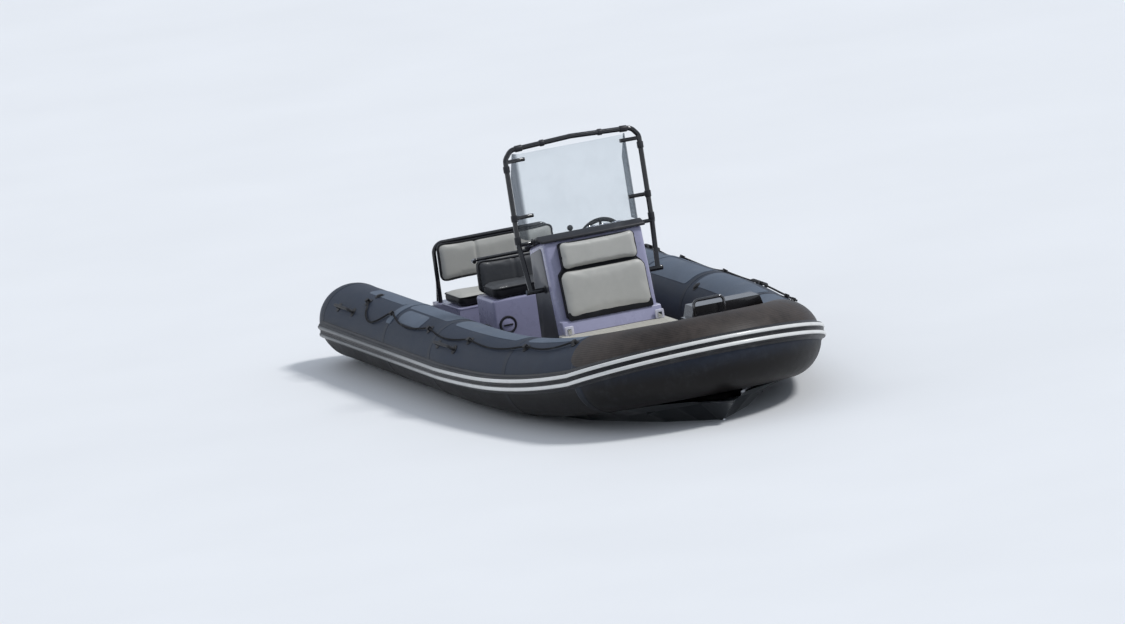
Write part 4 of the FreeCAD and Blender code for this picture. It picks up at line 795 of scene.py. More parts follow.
@dataclass
class TubeLine:
    """Centreline of the collar from the starboard stern round the bow to the port stern.

    A straight side is followed by four arcs that turn inwards and lift, and the port side mirrors it. Distances
    along it are counted from the joint of the starboard stern cone.
    """

    length: float = 5.2
    radius: float = TUBE_RADIUS
    spacing: float = 1.8
    height: float = 0.28
    side_arc: float = 6.3
    bow_turn: float = 16.8
    slope_mid: float = 4.0
    slope_end: float = 9.0
    cone: float = 0.25
    nose: float = 0.09
    step: float = 0.004

    def __post_init__(self) -> None:
        """Works out the table of points and directions."""
        turns = [(0.0, 0.0), (self.bow_turn * 0.34, 0.0), (self.bow_turn * 0.67, self.slope_mid),
                 (self.bow_turn, self.slope_end)]
        points = [np.array([[0.0, -self.spacing / 2, self.height]])]
        ahead = [heading(0, 0)[None]]
        for (turn_a, slope_a), (turn_b, slope_b) in zip(turns, turns[1:]):
            run = self.side_arc * math.radians(turn_b - turn_a)
            self._arc(points, ahead, heading(turn_a, slope_a), heading(turn_b, slope_b), run)
        last, front = heading(self.bow_turn, self.slope_end), heading(90, self.slope_end)
        radius = -points[-1][-1][1] / math.cos(math.radians(self.bow_turn))
        self._arc(points, ahead, last, front, radius * math.acos(float(last @ front)))
        line, way = np.vstack(points), np.vstack(ahead)
        line[:, 0] += self.length / 2 - self.radius - line[-1, 0]
        start = -self.length / 2 + self.cone
        straight = np.arange(start, line[0, 0], self.step)[:, None]
        line = np.vstack([np.hstack([straight, np.tile(line[0, 1:], (len(straight), 1))]), line])
        way = np.vstack([np.tile(heading(0, 0), (len(straight), 1)), way])
        out = unit(np.cross(way, [0.0, 0.0, 1.0]))
        lift = np.cross(out, way)
        flip = np.array([1.0, -1.0, 1.0])
        run = lengths(line)
        self.half = float(run[-1])
        self.total = 2 * self.half
        self.run = np.concatenate([run, self.total - run[-2::-1]])
        self.line = np.vstack([line, line[-2::-1] * flip])
        self.way = np.vstack([way, -way[-2::-1] * flip])
        self.out = np.vstack([out, out[-2::-1] * flip])
        self.lift = np.vstack([lift, lift[-2::-1] * flip])

    def _arc(self, points: list[Array], ahead: list[Array], first: Array, last: Array, run: float) -> None:
        """Adds an arc: its start, turned about its centre in steps of the table.

        Args:
            points: the line's points so far, to which the arc's are added.
            ahead: its directions so far, to which the arc's are added.
            first: heading at the arc's start.
            last: heading at its end.
            run: its length.
        """
        angle = math.acos(float(np.clip(first @ last, -1, 1)))
        axis = unit(np.cross(first, last))
        start = points[-1][-1]
        centre = start + np.cross(axis, first) * (run / angle)
        theta = np.linspace(0, angle, max(2, int(run / self.step)) + 1)[1:, None]
        rel = start - centre
        points.append(centre + rel * np.cos(theta) + np.cross(axis, rel) * np.sin(theta))
        ahead.append(first * np.cos(theta) + np.cross(axis, first) * np.sin(theta))

    def take(self, table: Array, s: Array) -> Array:
        """A table's rows at distances along the line."""
        return np.stack([np.interp(s, self.run, table[:, k]) for k in range(3)], axis=-1)

    def on(self, s: Array, a: Array, r: Array | float) -> Array:
        """Points round the line: middle + r * (cosine a * outwards + sine a * upwards).

        Args:
            s: distance along the line.
            a: angle above the outer side, in radians.
            r: distance from the middle.

        Returns:
            Points, with one more axis than the broadcast inputs.
        """
        s, a, r = np.broadcast_arrays(np.asarray(s, float), np.asarray(a, float), np.asarray(r, float))
        over = np.clip(s - self.total, 0, None) + np.clip(s, None, 0)
        middle = self.take(self.line, s) + self.take(self.way, s) * over[..., None]
        out, lift = unit(self.take(self.out, s)), unit(self.take(self.lift, s))
        return middle + r[..., None] * (out * np.cos(a)[..., None] + lift * np.sin(a)[..., None])

    def forward(self, s: Array) -> Array:
        """How far the outward direction points ahead: 0 at the sides and 1 at the middle of the bow."""
        return unit(self.take(self.out, np.asarray(s, float)))[..., 0]


@dataclass
class Collar:
    """Inflated collar with its seams, wear patches, strake, bow pad and fittings."""

    line: TubeLine = field(default_factory=TubeLine)
    lift: float = 0.0016
    strake_low: float = -4.7
    strake_high: float = 24.2
    strake_width: float = 0.130
    strake_thick: float = 0.026
    stripe_offset: float = 0.027
    stripe_width: float = 0.024
    pad_low: float = 44.0
    pad_high: float = 150.0
    first: float = math.radians(-146)
    rim: float = 0.0012
    seams_at: tuple[float, ...] = (0.0, 1.28, 2.22, 3.45, 4.3)
    valves_at: tuple[tuple[float, float], ...] = ((0.68, 82.0), (2.35, 128.0), (3.98, 128.0))

    def build(self) -> None:
        """Builds every piece of the collar."""
        self.tube()
        self.seams()
        self.patches()
        self.strake()
        self.pad()
        self.valves()

    def tube(self) -> None:
        """The tube: radius 0.255 along the line, and a superellipse cone at each stern end.

        On a cone at a share d of its length the radius is nose + (tube - nose) * (1 - d ** 2.1) ** (1 / 2.1). Small
        waves of a millimetre keep the skin from looking machined. The surface coordinates start at an angle that
        the bonding tape covers.
        """
        line = self.line
        share = np.sin(np.linspace(0, math.pi / 2, 22))
        s = np.concatenate([-line.cone * share[::-1], np.linspace(0, line.total, 560)[1:-1],
                            line.total + line.cone * share])
        past = np.clip(np.maximum(-s, s - line.total) / line.cone, 0, 1)
        radius = line.nose + (line.radius - line.nose) * (1 - past ** 2.1) ** (1 / 2.1)
        s, radius = np.concatenate([s[:1], s, s[-1:]]), np.concatenate([[0.002], radius, [0.002]])
        a = np.linspace(0, TURN, 89) + self.first
        sg, ag = np.meshgrid(s, a, indexing="ij")
        wave = 0.0006 * np.sin(9.0 * sg + 3 * np.sin(2 * ag)) * np.sin(3 * ag + 1.3 * sg)
        points = line.on(sg, ag, radius[:, None] + wave)
        uv = np.stack([sg, ag * line.radius], axis=-1)
        surface = Surface().grid(points, cap_start=True, cap_end=True, uv=uv)
        surface.piece("collar_tube", Palette.TUBE, replaces=("tube_collar",), closed=False)

    def panel(self, surface: Surface, s: Array, low: Array, high: Array, lift: float, columns: int,
              zero: float = 0.0) -> None:
        """Adds a thin raised panel on the tube, whose rim falls to the tube over a millimetre.

        Args:
            surface: where it is added.
            s: distances along the line.
            low: angle of its lower edge at each.
            high: angle of its upper edge at each.
            lift: height above the tube.
            columns: points across it.
            zero: angle from which its surface coordinates are counted.
        """
        radius = self.line.radius
        v = np.concatenate([[0.0], np.linspace(0, 1, columns), [1.0]])
        a = low[:, None] + (high - low)[:, None] * v
        a[:, 1] += self.rim / radius
        a[:, -2] -= self.rim / radius
        height = radius + lift * np.pad(np.ones((len(s) - 2, columns)), 1)
        uv = np.stack(np.broadcast_arrays(s[:, None], (a - zero) * radius), axis=-1)
        surface.grid(self.line.on(s[:, None], a, height), uv=uv)

    def band(self, surface: Surface, s0: float, s1: float, a0: float, a1: float, lift: float,
             corner: float = 0.0, rows: int = 0, columns: int = 0) -> None:
        """Adds a straight panel with round corners, by distances and angles.

        Args:
            surface: where it is added.
            s0: start along the line.
            s1: end along the line.
            a0: lower angle in degrees.
            a1: upper angle in degrees.
            lift: height above the tube.
            corner: radius of the corners.
            rows: points along it, or 0 for one each 20 mm.
            columns: points across it, or 0 for one each 20 mm.
        """
        rim, radius = self.rim, self.line.radius
        length = s1 - s0
        half = math.radians(a1 - a0) / 2 * radius
        rows = rows or max(4, int(length / 0.02))
        columns = columns or max(4, int(2 * half / 0.02))
        ends = corner * (1 - np.cos(np.linspace(0, math.pi / 2, 8))) if corner else np.array([0.0])
        inner = np.linspace(max(corner, 2 * rim), length - max(corner, 2 * rim), rows)
        d = np.unique(np.concatenate([[0.0, rim], ends + rim, inner, length - ends - rim, [length - rim, length]]))
        reach = (half - corner_drop(d, length, corner)) / radius
        middle = math.radians((a0 + a1) / 2)
        self.panel(surface, s0 + d, middle - reach, middle + reach, lift, columns, middle)

    def ring(self, surface: Surface, s0: float, width: float, lift: float) -> None:
        """Adds a taped seam right round the tube.

        Args:
            surface: where it is added.
            s0: distance of its middle along the line.
            width: width of the tape.
            lift: height above the tube.
        """
        a = np.linspace(0, TURN, 73) + self.first
        s = s0 + width * np.array([-0.5, -0.47, -0.2, 0.2, 0.47, 0.5])
        height = self.line.radius + np.array([0.0, lift, lift, lift, lift, 0.0])
        points = self.line.on(s[:, None], a[None], height[:, None])
        uv = np.stack(np.broadcast_arrays(s[:, None], a * self.line.radius), axis=-1)
        surface.grid(points, uv=uv)

    def seams(self) -> None:
        """Tapes over the joints between chambers and at the cones, and the bonding tape along the hull."""
        surface = Surface()
        total = self.line.total
        for s in (*self.seams_at, *(total - s for s in reversed(self.seams_at))):
            self.ring(surface, s, 0.05, self.lift)
        for low, high in ((206, 222), (246, 262)):
            self.band(surface, 0.3, total - 0.3, low, high, self.lift, rows=360, columns=4)
        surface.piece("collar_tapes", Palette.TAPE, closed=False)

    def patches(self) -> None:
        """Pale non-slip panels on top of each side."""
        surface = Surface()
        total = self.line.total
        lift = self.lift
        # columns: start, end, lower angle, upper angle, corner
        for s0, s1, a0, a1, corner in ((0.46, 1.22, 80, 128, 0.04), (1.34, 2.16, 78, 130, 0.04),
                                       (2.30, 3.38, 76, 128, 0.04), (3.52, 4.22, 74, 122, 0.04),
                                       (1.40, 1.86, 47, 74, 0.055)):
            self.band(surface, s0, s1, a0, a1, lift * 1.4, corner)
            self.band(surface, total - s1, total - s0, a0, a1, lift * 1.4, corner)
        surface.piece("collar_patches", Palette.PATCH, closed=False)
        straps = Surface()
        for s0 in (1.28, total - 1.28):
            self.band(straps, s0 - 0.045, s0 + 0.045, 40, 150, lift * 3, 0.02)
        straps.piece("collar_straps", Palette.PATCH, closed=False)

    def valves(self) -> None:
        """Round inflation valves with caps, one for each air chamber."""
        surface = Surface()
        for s, degrees in self.valves_at:
            foot = self.line.on(s, math.radians(degrees), self.line.radius)
            out = unit(self.line.on(s, math.radians(degrees), 1.0) - foot)
            spun(surface, [(0.034, -0.002), (0.034, 0.002), (0.024, 0.004), (0.023, 0.009), (0.019, 0.012),
                           (0.006, 0.013)], tuple(foot), tuple(out), 28)
        surface.mirrored()
        surface.piece("valve_caps", Palette.RUBBER)

    def strake_angle(self, s: Array) -> Array:
        """Angle of the strake's middle: low at the sides and high at the bow."""
        return np.radians(self.strake_low + (self.strake_high - self.strake_low) * self.line.forward(s))

    def along_strake(self, surface: Surface, profile: Corners) -> None:
        """Carries a profile along the strake's line.

        Args:
            surface: where it is added.
            profile: a closed loop of pairs, height across the strake and distance from the tube's skin.
        """
        line = self.line
        s = np.concatenate([np.linspace(0, 2.6, 40), np.linspace(2.6, line.total - 2.6, 330)[1:-1],
                            np.linspace(line.total - 2.6, line.total, 40)])
        table = np.array(profile, float)
        a = self.strake_angle(s)
        middle = line.on(s, a, line.radius)
        normal = unit(middle - line.on(s, a, 0.0))
        side = unit(line.on(s, a + math.pi / 2, 1.0) - line.on(s, a, 0.0))
        height, off = table[:, 0], table[:, 1]
        points = middle[:, None] + side[:, None] * height[None, :, None] + normal[:, None] * off[None, :, None]
        surface.grid(points, wrap_v=True, cap_start=True, cap_end=True, flip=True)

    def strake(self) -> None:
        """Black rubber strake with two pale stripes, stepped flanks and fine grooves."""
        w, t = self.strake_width / 2, self.strake_thick
        sag = self.line.radius - math.sqrt(self.line.radius ** 2 - w ** 2)
        flank = [(-w, -sag), (-w + 0.001, 0.004 - sag), (-w + 0.012, 0.010 - sag * 0.6), (-w + 0.016, t * 0.75),
                 (-w + 0.022, t), (-0.006, t), (-0.003, t - 0.004)]
        back = [(w * 0.5, 0.0012), (0.0, 0.0012), (-w * 0.5, 0.0012)]
        body = flank + [(-height, off) for height, off in reversed(flank)] + back
        surface = Surface()
        self.along_strake(surface, body)
        surface.piece("collar_strake", Palette.STRAKE, replaces=("rubbing_strake",), sharp=25, closed=False)
        stripes = Surface()
        half = self.stripe_width / 2
        bead = ((-1, 0.0003), (-1, 0.004), (-0.7, 0.0075), (0, 0.009), (0.7, 0.0075), (1, 0.004), (1, 0.0003))
        for middle in (-self.stripe_offset, self.stripe_offset):
            self.along_strake(stripes, [(middle + half * share, t + off) for share, off in bead])
        stripes.piece("collar_stripes", Palette.STRIPE, replaces=("strake_ribs",), sharp=50, closed=False)

    def pad(self) -> None:
        """Ribbed rubber pad over the front of the tube, from the strake's upper edge over the crown.

        Its corners are rounded as a band's are.
        """
        line, rim = self.line, self.rim
        first, corner = line.half - PAD_HALF, 0.09
        length = line.total - 2 * first
        turn = corner * (1 - np.cos(np.linspace(0, math.pi / 2, 12)))
        d = np.concatenate([[0.0], turn + rim, np.linspace(corner, length - corner, 150)[1:-1],
                            length - rim - turn[::-1], [length]])
        drop = corner_drop(d, length, corner) / line.radius
        s = first + d
        low = np.minimum(self.strake_angle(s) + (self.strake_width / 2 - 0.004) / line.radius,
                         math.radians(self.pad_low)) + drop
        high = math.radians(self.pad_high) - drop
        surface = Surface()
        self.panel(surface, s, low, high, 0.0033, 36)
        surface.piece("bow_pad_rubber", Palette.PAD, replaces=("bow_pad",), closed=False)


# Soft goods --------------------------------------------------------------------------------------


@dataclass
class Cushion:
    """A padded cushion that is blown up a little by cloth simulation, with a dark border and piping.

    It starts as a rounded slab between two faces square to its depth. The slab is remeshed, swollen by pressure,
    and each point's travel is capped. Where it rests on something it is pressed flat again.
    """

    name: str
    centre: Point
    size: Point
    face: Point
    finish: Finish
    replaces: str
    body: str = "boat"
    swell: float = 0.012
    shrink: float = 0.008
    round_: float = 0.02
    corners: tuple[float, ...] = (0.04, 0.04, 0.04, 0.04)
    voxel: float = 0.012
    rim_depth: float = 0.015
    piping: float = 0.0045
    pressure: float = 4.0
    frames: int = 20
    seam: float = 0.009
    channels: tuple[float, ...] = (-0.17, 0.17)

    @classmethod
    def over(cls, name: str, node: str, upright: bool, finish: Finish, **options: object) -> None:
        """Builds the cushion that fills a solid's box.

        Args:
            name: the piece's name.
            node: the solid that it stands for.
            upright: whether it faces forwards rather than up.
            finish: its finish.
            options: any other values of the cushion.
        """
        low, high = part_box(node)
        size = (high.x - low.x, high.y - low.y, high.z - low.z)
        middle = ((low.x + high.x) / 2, 0.0, (low.z + high.z) / 2)
        face = (1, 0, 0) if upright else (0, 0, 1)
        cls(name, middle, size if upright else size[::-1], face, finish, node, **options).build()

    def frame(self) -> tuple[Array, Array, Array]:
        """The cushion's own directions.

        Returns:
            Out of its face, across the boat, and up its face.
        """
        out = unit(np.array(self.face, dtype=float))
        across_ = np.array([0.0, 1.0, 0.0])
        return out, across_, np.cross(out, across_)

    def build(self) -> bpy.types.Object:
        """Makes the cushion and its piping.

        Returns:
            The cushion.
        """
        local, faces = self.swollen()
        depth = local[:, 0]
        made = self.mesh(self.placed(local), faces)
        settle(made, self.finish, self.body, (self.replaces,))
        made.data.materials.append(Palette.material(Palette.PIPING))
        edge = self.size[0] / 2 - self.rim_depth
        middle = np.array([np.mean(depth[face]) for face in faces])
        made.data.polygons.foreach_set("material_index", (middle < edge).astype(np.int32))
        made.data.update()
        self.trim(local[:, 1], local[:, 2], depth, edge)
        return made

    def placed(self, local: Array) -> Array:
        """Points of the cushion's own directions, put in the boat."""
        out, across_, up = self.frame()
        return np.array(self.centre) + local[:, :1] * out + local[:, 1:2] * across_ + local[:, 2:] * up

    def slab(self) -> Surface:
        """The slab that the cushion starts from: a rounded rectangle with rounded rims, drawn in by the shrink.

        Returns:
            The slab in the cushion's own directions: depth, across and up.
        """
        thick, wide, high = (v - 2 * self.shrink for v in self.size)
        corners = rectangle(-wide / 2, wide / 2, -high / 2, high / 2)
        loops = moulding(corners, list(self.corners), -thick / 2, thick / 2, Plane.FRONT,
                         min(self.round_, thick * 0.42))
        return Surface().grid(loops, wrap_v=True, cap_start=True, cap_end=True)

    def swollen(self) -> tuple[Array, list[list[int]]]:
        """Blows the slab up and smooths it.

        Returns:
            Points, in the cushion's own directions, and faces.
        """
        start = self.slab()
        mesh = bpy.data.meshes.new(self.name + "_slab")
        mesh.from_pydata(np.vstack(start.points).tolist(), [], start.faces)
        turn_outwards(mesh)
        body = linked(self.name + "_slab", mesh)
        remesh = body.modifiers.new("Remesh", "REMESH")
        remesh.mode = "VOXEL"
        remesh.voxel_size = self.voxel
        apply_modifiers(body)
        points = coordinates(body.data)
        cloth = body.modifiers.new("Cloth", "CLOTH")
        cloth.settings.use_pressure = True
        cloth.settings.uniform_pressure_force = self.pressure
        cloth.settings.effector_weights.gravity = 0.0
        cloth.settings.quality = 4
        cloth.point_cache.frame_start = 1
        cloth.point_cache.frame_end = self.frames
        for frame_number in range(1, self.frames + 1):
            bpy.context.scene.frame_set(frame_number)
        moved = evaluated_points(body)
        body.modifiers.remove(cloth)
        bpy.context.scene.frame_set(1)
        travel = moved - points
        length = np.linalg.norm(travel, axis=1, keepdims=True)
        local = points + travel * np.minimum(1.0, self.swell / np.maximum(length, 1e-9))
        limit = np.array(self.size) / 2
        local[:, 0] = np.maximum(local[:, 0], -limit[0])
        local = self.sewn(local)
        local[:, 1:] = np.clip(local[:, 1:], -limit[1:] - 0.004, limit[1:] + 0.004)
        body.data.vertices.foreach_set("co", local.astype(np.float32).ravel())
        smooth = body.modifiers.new("Subdivision", "SUBSURF")
        smooth.levels = smooth.render_levels = 1
        apply_modifiers(body)
        result = coordinates(body.data), [list(face.vertices) for face in body.data.polygons]
        bpy.data.objects.remove(body)
        return result

    def sewn(self, local: Array) -> Array:
        """Presses a channel into the face along each sewn line.

        At a distance d from the line its depth is seam * exp(-(d / seam) ** 2).

        Args:
            local: points in the cushion's own directions, which are moved.

        Returns:
            The same points.
        """
        for at in self.channels:
            near = np.exp(-((local[:, 1] - at * self.size[1]) / self.seam) ** 2)
            local[:, 0] -= self.seam * near * (local[:, 0] > 0)
        return local

    def mesh(self, points: Array, faces: list[list[int]]) -> bpy.types.Object:
        """Makes the cushion's object, smooth all over.

        Args:
            points: its points in the boat.
            faces: its faces.

        Returns:
            The object.
        """
        mesh = bpy.data.meshes.new(self.name)
        mesh.from_pydata(points.tolist(), [], faces)
        shade_smooth(mesh)
        mesh.update()
        return linked(self.name, mesh)

    def trim(self, u: Array, v: Array, depth: Array, edge: float) -> None:
        """Piping along the line where face and border meet.

        The points near that depth are sorted by their angle about the middle, in shares of the half sizes, and the
        furthest in each of 160 sectors gives the line.

        Args:
            u: the points' places across the boat.
            v: their places up the face.
            depth: their depths.
            edge: depth at which the border starts.
        """
        near = np.abs(depth - edge) < 0.008
        half_u, half_v = self.size[1] / 2, self.size[2] / 2
        angle = np.arctan2(v[near] / half_v, u[near] / half_u)
        reach = np.hypot(v[near] / half_v, u[near] / half_u)
        count = 160
        at = np.arange(count)
        sector = ((angle + math.pi) / TURN * count).astype(int) % count
        furthest = np.zeros(count)
        np.maximum.at(furthest, sector, reach)
        filled = furthest > 0
        furthest = np.interp(at, at[filled], furthest[filled], period=count)
        smooth = (np.roll(furthest, 1) + furthest * 2 + np.roll(furthest, -1)) / 4
        theta = (at + 0.5) / count * TURN - math.pi
        across, along = smooth * np.cos(theta) * half_u, smooth * np.sin(theta) * half_v
        line = self.placed(np.column_stack([np.full(count, edge), across, along]))
        surface = rod(Surface(), line, self.piping, 8, closed=True)
        surface.piece(self.name + "_piping", Palette.PIPING, self.body)


def coordinates(mesh: bpy.types.Mesh) -> Array:
    """Reads a mesh's points.

    Args:
        mesh: the mesh.

    Returns:
        An array of n by 3.
    """
    flat = np.empty(len(mesh.vertices) * 3, dtype=np.float32)
    mesh.vertices.foreach_get("co", flat)
    return flat.reshape(-1, 3).astype(float)


def evaluated_points(made: bpy.types.Object) -> Array:
    """An object's points with its modifiers in place."""
    graph = bpy.context.evaluated_depsgraph_get()
    return coordinates(made.evaluated_get(graph).data)


def apply_modifiers(made: bpy.types.Object) -> None:
    """Swaps an object's mesh for its evaluated one and drops the modifiers.

    Args:
        made: the object.
    """
    graph = bpy.context.evaluated_depsgraph_get()
    mesh = bpy.data.meshes.new_from_object(made.evaluated_get(graph))
    made.modifiers.clear()
    made.data = mesh


# Console -----------------------------------------------------------------------------------------


def louvres(name: str, span: tuple[float, float], off: float, levels: list[float], high: float) -> None:
    """Slats on both sides of a box.

    Args:
        name: the piece's name.
        span: stations where a slat starts and ends.
        off: distance of the box's side from the middle.
        levels: height of each slat's lower edge.
        high: height of a slat.
    """
    surface = Surface()
    for y in (-off, off):
        for low in levels:
            block(surface, rectangle(*span, low, low + high), 0.005, y - 0.002, y + 0.002, Plane.SIDE, 0.0015)
    surface.piece(name, Palette.PLASTIC)


@dataclass
class Console:
    """Console, its dash, front seat and cushions."""

    half: float = 0.350
    foot_x: float = 0.330
    head_x: float = 0.195
    head_z: float = 1.000
    back_x: float = -0.130
    dash_back_z: float = 0.930
    deck: float = DECK_TOP
    seat_top: float = 0.376
    seat_half: float = 0.380
    seat_length: float = 0.540
    thick: float = 0.072

    def face(self, height: float) -> float:
        """Station of the raked face at a height."""
        return self.foot_x - (self.foot_x - self.head_x) / (self.head_z - self.seat_top) * (height - self.seat_top)

    def build(self) -> None:
        """Builds every piece of the console."""
        self.pod()
        self.dash()
        self.seat()
        self.cushions()

    def pod(self) -> None:
        """The moulded pod, with a door panel and a latch at its back, and on each side louvres and a dark panel of
        painted shade.
        """
        side = [(self.back_x, self.deck), (self.foot_x, self.deck), (self.foot_x, self.seat_top),
                (self.head_x, self.head_z), (0.135, self.head_z), (self.back_x, self.dash_back_z)]
        surface = block(Surface(), side, 0.028, -self.half, self.half, Plane.SIDE, 0.028)
        surface.piece("console_shell", Palette.GELCOAT, replaces=("console",))
        panel = block(Surface(), rectangle(-0.26, 0.26, 0.16, 0.70), 0.05, self.back_x - 0.006, self.back_x + 0.004,
                      Plane.FRONT, 0.004)
        panel.piece("console_door", Palette.GELCOAT)
        latch = spun(Surface(), [(0.018, 0.0), (0.020, 0.006), (0.016, 0.010), (0.006, 0.011)],
                     (self.back_x - 0.004, 0.22, 0.44), (-1, 0, 0))
        latch.piece("console_door_latch", Palette.PLASTIC)
        # painted shade: a dark panel on each side stands in for the shade that falls on the console's sides
        sides = Surface()
        panel = [(self.back_x + 0.03, 0.13), (self.foot_x - 0.07, 0.13), (self.foot_x - 0.07, self.seat_top),
                 (self.head_x - 0.06, self.head_z - 0.05), (0.11, self.head_z - 0.05),
                 (self.back_x + 0.03, self.dash_back_z - 0.04)]
        for y in (-self.half, self.half):
            block(sides, panel, 0.03, y - 0.003, y + 0.003, Plane.SIDE, 0.0025)
        sides.piece("console_painted_shade_panels", Palette.SIDE)
        louvres("console_vents", (-0.02, 0.12), self.half + 0.003, [0.20 + row * 0.022 for row in range(5)], 0.012)

    def dash(self) -> None:
        """The dark dash hood over the console's top."""
        lip, thick = 0.022, 0.014
        flat, top, back = 0.135, self.head_z + 0.0003, self.dash_back_z + 0.0003
        outline = [(self.back_x - lip, back - thick), (self.back_x, back - thick), (self.back_x, back), (flat, top),
                   (self.head_x, top), (self.head_x + lip, top - thick / 2), (self.head_x + lip, top + thick),
                   (flat, top + thick + lip), (self.back_x - lip, back + thick)]
        radii = [0.004, 0.001, 0.001, 0.01, 0.001, 0.004, 0.012, 0.03, 0.012]
        width = self.half + lip
        surface = block(Surface(), outline, radii, -width, width, Plane.SIDE, 0.01)
        surface.piece("dash_hood", Palette.PLASTIC, replaces=("dash",))

    def seat(self) -> None:
        """The box before the console, its step pad, the plinth above it and the two pale latches."""
        aft, fore = self.foot_x, self.foot_x + self.seat_length
        toe = 0.05
        side = [(aft, self.deck), (fore - toe, self.deck), (fore - toe, self.deck + toe),
                (fore, self.deck + 2 * toe), (fore, self.seat_top), (aft, self.seat_top)]
        radii = [0.004, 0.02, 0.02, 0.02, 0.012, 0.004]
        shell = block(Surface(), side, radii, -self.seat_half, self.seat_half, Plane.SIDE, 0.02)
        shell.piece("front_seat_shell", Palette.GELCOAT, replaces=("front_seat_box",))
        top = self.seat_top + 0.0003
        pad = block(Surface(), rectangle(aft, fore, -self.seat_half, self.seat_half), 0.024, top, top + 0.014,
                    Plane.TOP, 0.005)
        pad.piece("front_seat_step", Palette.SEAT_PAD, replaces=("front_seat_pad",))
        ribs = Surface()
        for row in range(9):
            x = aft + 0.10 + row * 0.045
            block(ribs, rectangle(x, x + 0.02, -self.seat_half + 0.04, self.seat_half - 0.04), 0.006, top + 0.0135,
                  top + 0.0165, Plane.TOP, 0.002, 3)
        ribs.piece("front_seat_treads", Palette.SEAT_PAD)
        foot, head = top + 0.0146, 0.4797
        plinth = [(self.face(foot), foot), (self.face(foot) + self.thick, foot),
                  (self.face(head) + self.thick - 0.014, head), (self.face(head), head)]
        sill = block(Surface(), plinth, [0.001, 0.004, 0.012, 0.001], -0.352, 0.352, Plane.SIDE, 0.008)
        sill.piece("front_seat_sill", Palette.GELCOAT, replaces=("front_seat_plinth",))
        latches, tongues = Surface(), Surface()
        low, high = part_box("front_seat_latches")
        size = 0.062
        for y in (low.y, high.y - size):
            block(latches, rectangle(y, y + size, low.z, high.z), 0.009, low.x, high.x, Plane.FRONT, 0.004)
            block(tongues, rectangle(y + 0.017, y + size - 0.017, low.z + 0.008, high.z - 0.014), 0.006,
                  high.x - 0.001, high.x + 0.006, Plane.FRONT, 0.003)
        latches.piece("seat_latch_blocks", Palette.PALE, replaces=("front_seat_latches",))
        tongues.piece("seat_latch_tongues", Palette.STEEL)

    def cushions(self) -> None:
        """Two cushions on the raked face, the upper one narrower, with a board behind and a band below."""
        rake = math.atan2(self.foot_x - self.head_x, self.head_z - self.seat_top)
        out = (math.cos(rake), 0.0, math.sin(rake))
        for name, half, low, high, top_corner in (("console_cushion_low", 0.307, 0.480, 0.801, 0.06),
                                                  ("console_cushion_high", 0.272, 0.8013, 0.986, 0.03)):
            middle = (low + high) / 2
            deep = self.thick * math.cos(rake)
            x = self.face(middle) + self.thick / 2
            Cushion(name.replace("cushion", "pad"), (x, 0.0, middle), (deep, 2 * half, (high - low) / math.cos(rake)),
                    out, Palette.VINYL, name, swell=0.010, shrink=0.002, round_=0.011, channels=(),
                    corners=(0.035, 0.035, top_corner, top_corner), rim_depth=0.017, piping=0.003).build()
        plate = [(-0.296, 0.484), (0.296, 0.484), (0.296, 0.775), (0.262, 0.81), (0.262, 0.978), (-0.262, 0.978),
                 (-0.262, 0.81), (-0.296, 0.775)]
        x, slope = self.face(0.484), math.tan(rake)
        board = block(Surface(), plate, 0.02, x - 0.002, x + 0.030, Plane.FRONT, 0.004, rake=(slope, 0.484))
        board.piece("console_pad_board", Palette.PIPING)
        low = 0.480
        x = self.face(low + 0.025) + self.thick
        band = block(Surface(), rectangle(-0.300, 0.300, low - 0.001, low + 0.052), 0.012, x - 0.006, x + 0.004,
                     Plane.FRONT, 0.003, rake=(slope, low))
        band.piece("console_pad_band", Palette.PIPING)


# Rail --------------------------------------------------------------------------------------------


@dataclass
class RailTrim:
    """Sleeves on the hoop's uprights and top, and flanges where it meets the console."""

    knee: Point = (0.055, 0.476, 1.000)
    corner: Point = (0.0187, 0.476, 1.565)
    top: Point = (0.015, 0.429, 1.623)
    crown: Point = (0.015, 0.0, 1.643)
    radius: float = 0.017

    def build(self) -> None:
        """Builds the trim on both sides."""
        sleeves = Surface()
        # columns: from, to, share of the way, length
        for start, end, at, long in ((self.knee, self.corner, 0.30, 0.044), (self.knee, self.corner, 0.885, 0.044),
                                     (self.knee, self.corner, 0.035, 0.05), (self.top, self.crown, 0.13, 0.05),
                                     (self.top, self.crown, 0.52, 0.03)):
            first, last = np.array(start), np.array(end)
            way = unit(last - first)
            middle = first + (last - first) * at
            spun(sleeves, [(self.radius, 0.0), (self.radius + 0.004, 0.001), (self.radius + 0.005, 0.004),
                           (self.radius + 0.005, long - 0.004), (self.radius + 0.004, long - 0.001),
                           (self.radius, long)], tuple(middle - way * long / 2), tuple(way), 24)
        for x, half, height in ((0.115, 0.352, 0.675), (0.0557, 0.3735, 0.990)):
            spun(sleeves, [(0.027, -0.001), (0.027, 0.004), (0.024, 0.007), (0.013, 0.008)],
                 (x, half, height), (0, 1, 0), 24)
        sleeves.mirrored()
        sleeves.piece("rail_sleeves", Palette.PLASTIC)


# Helm --------------------------------------------------------------------------------------------


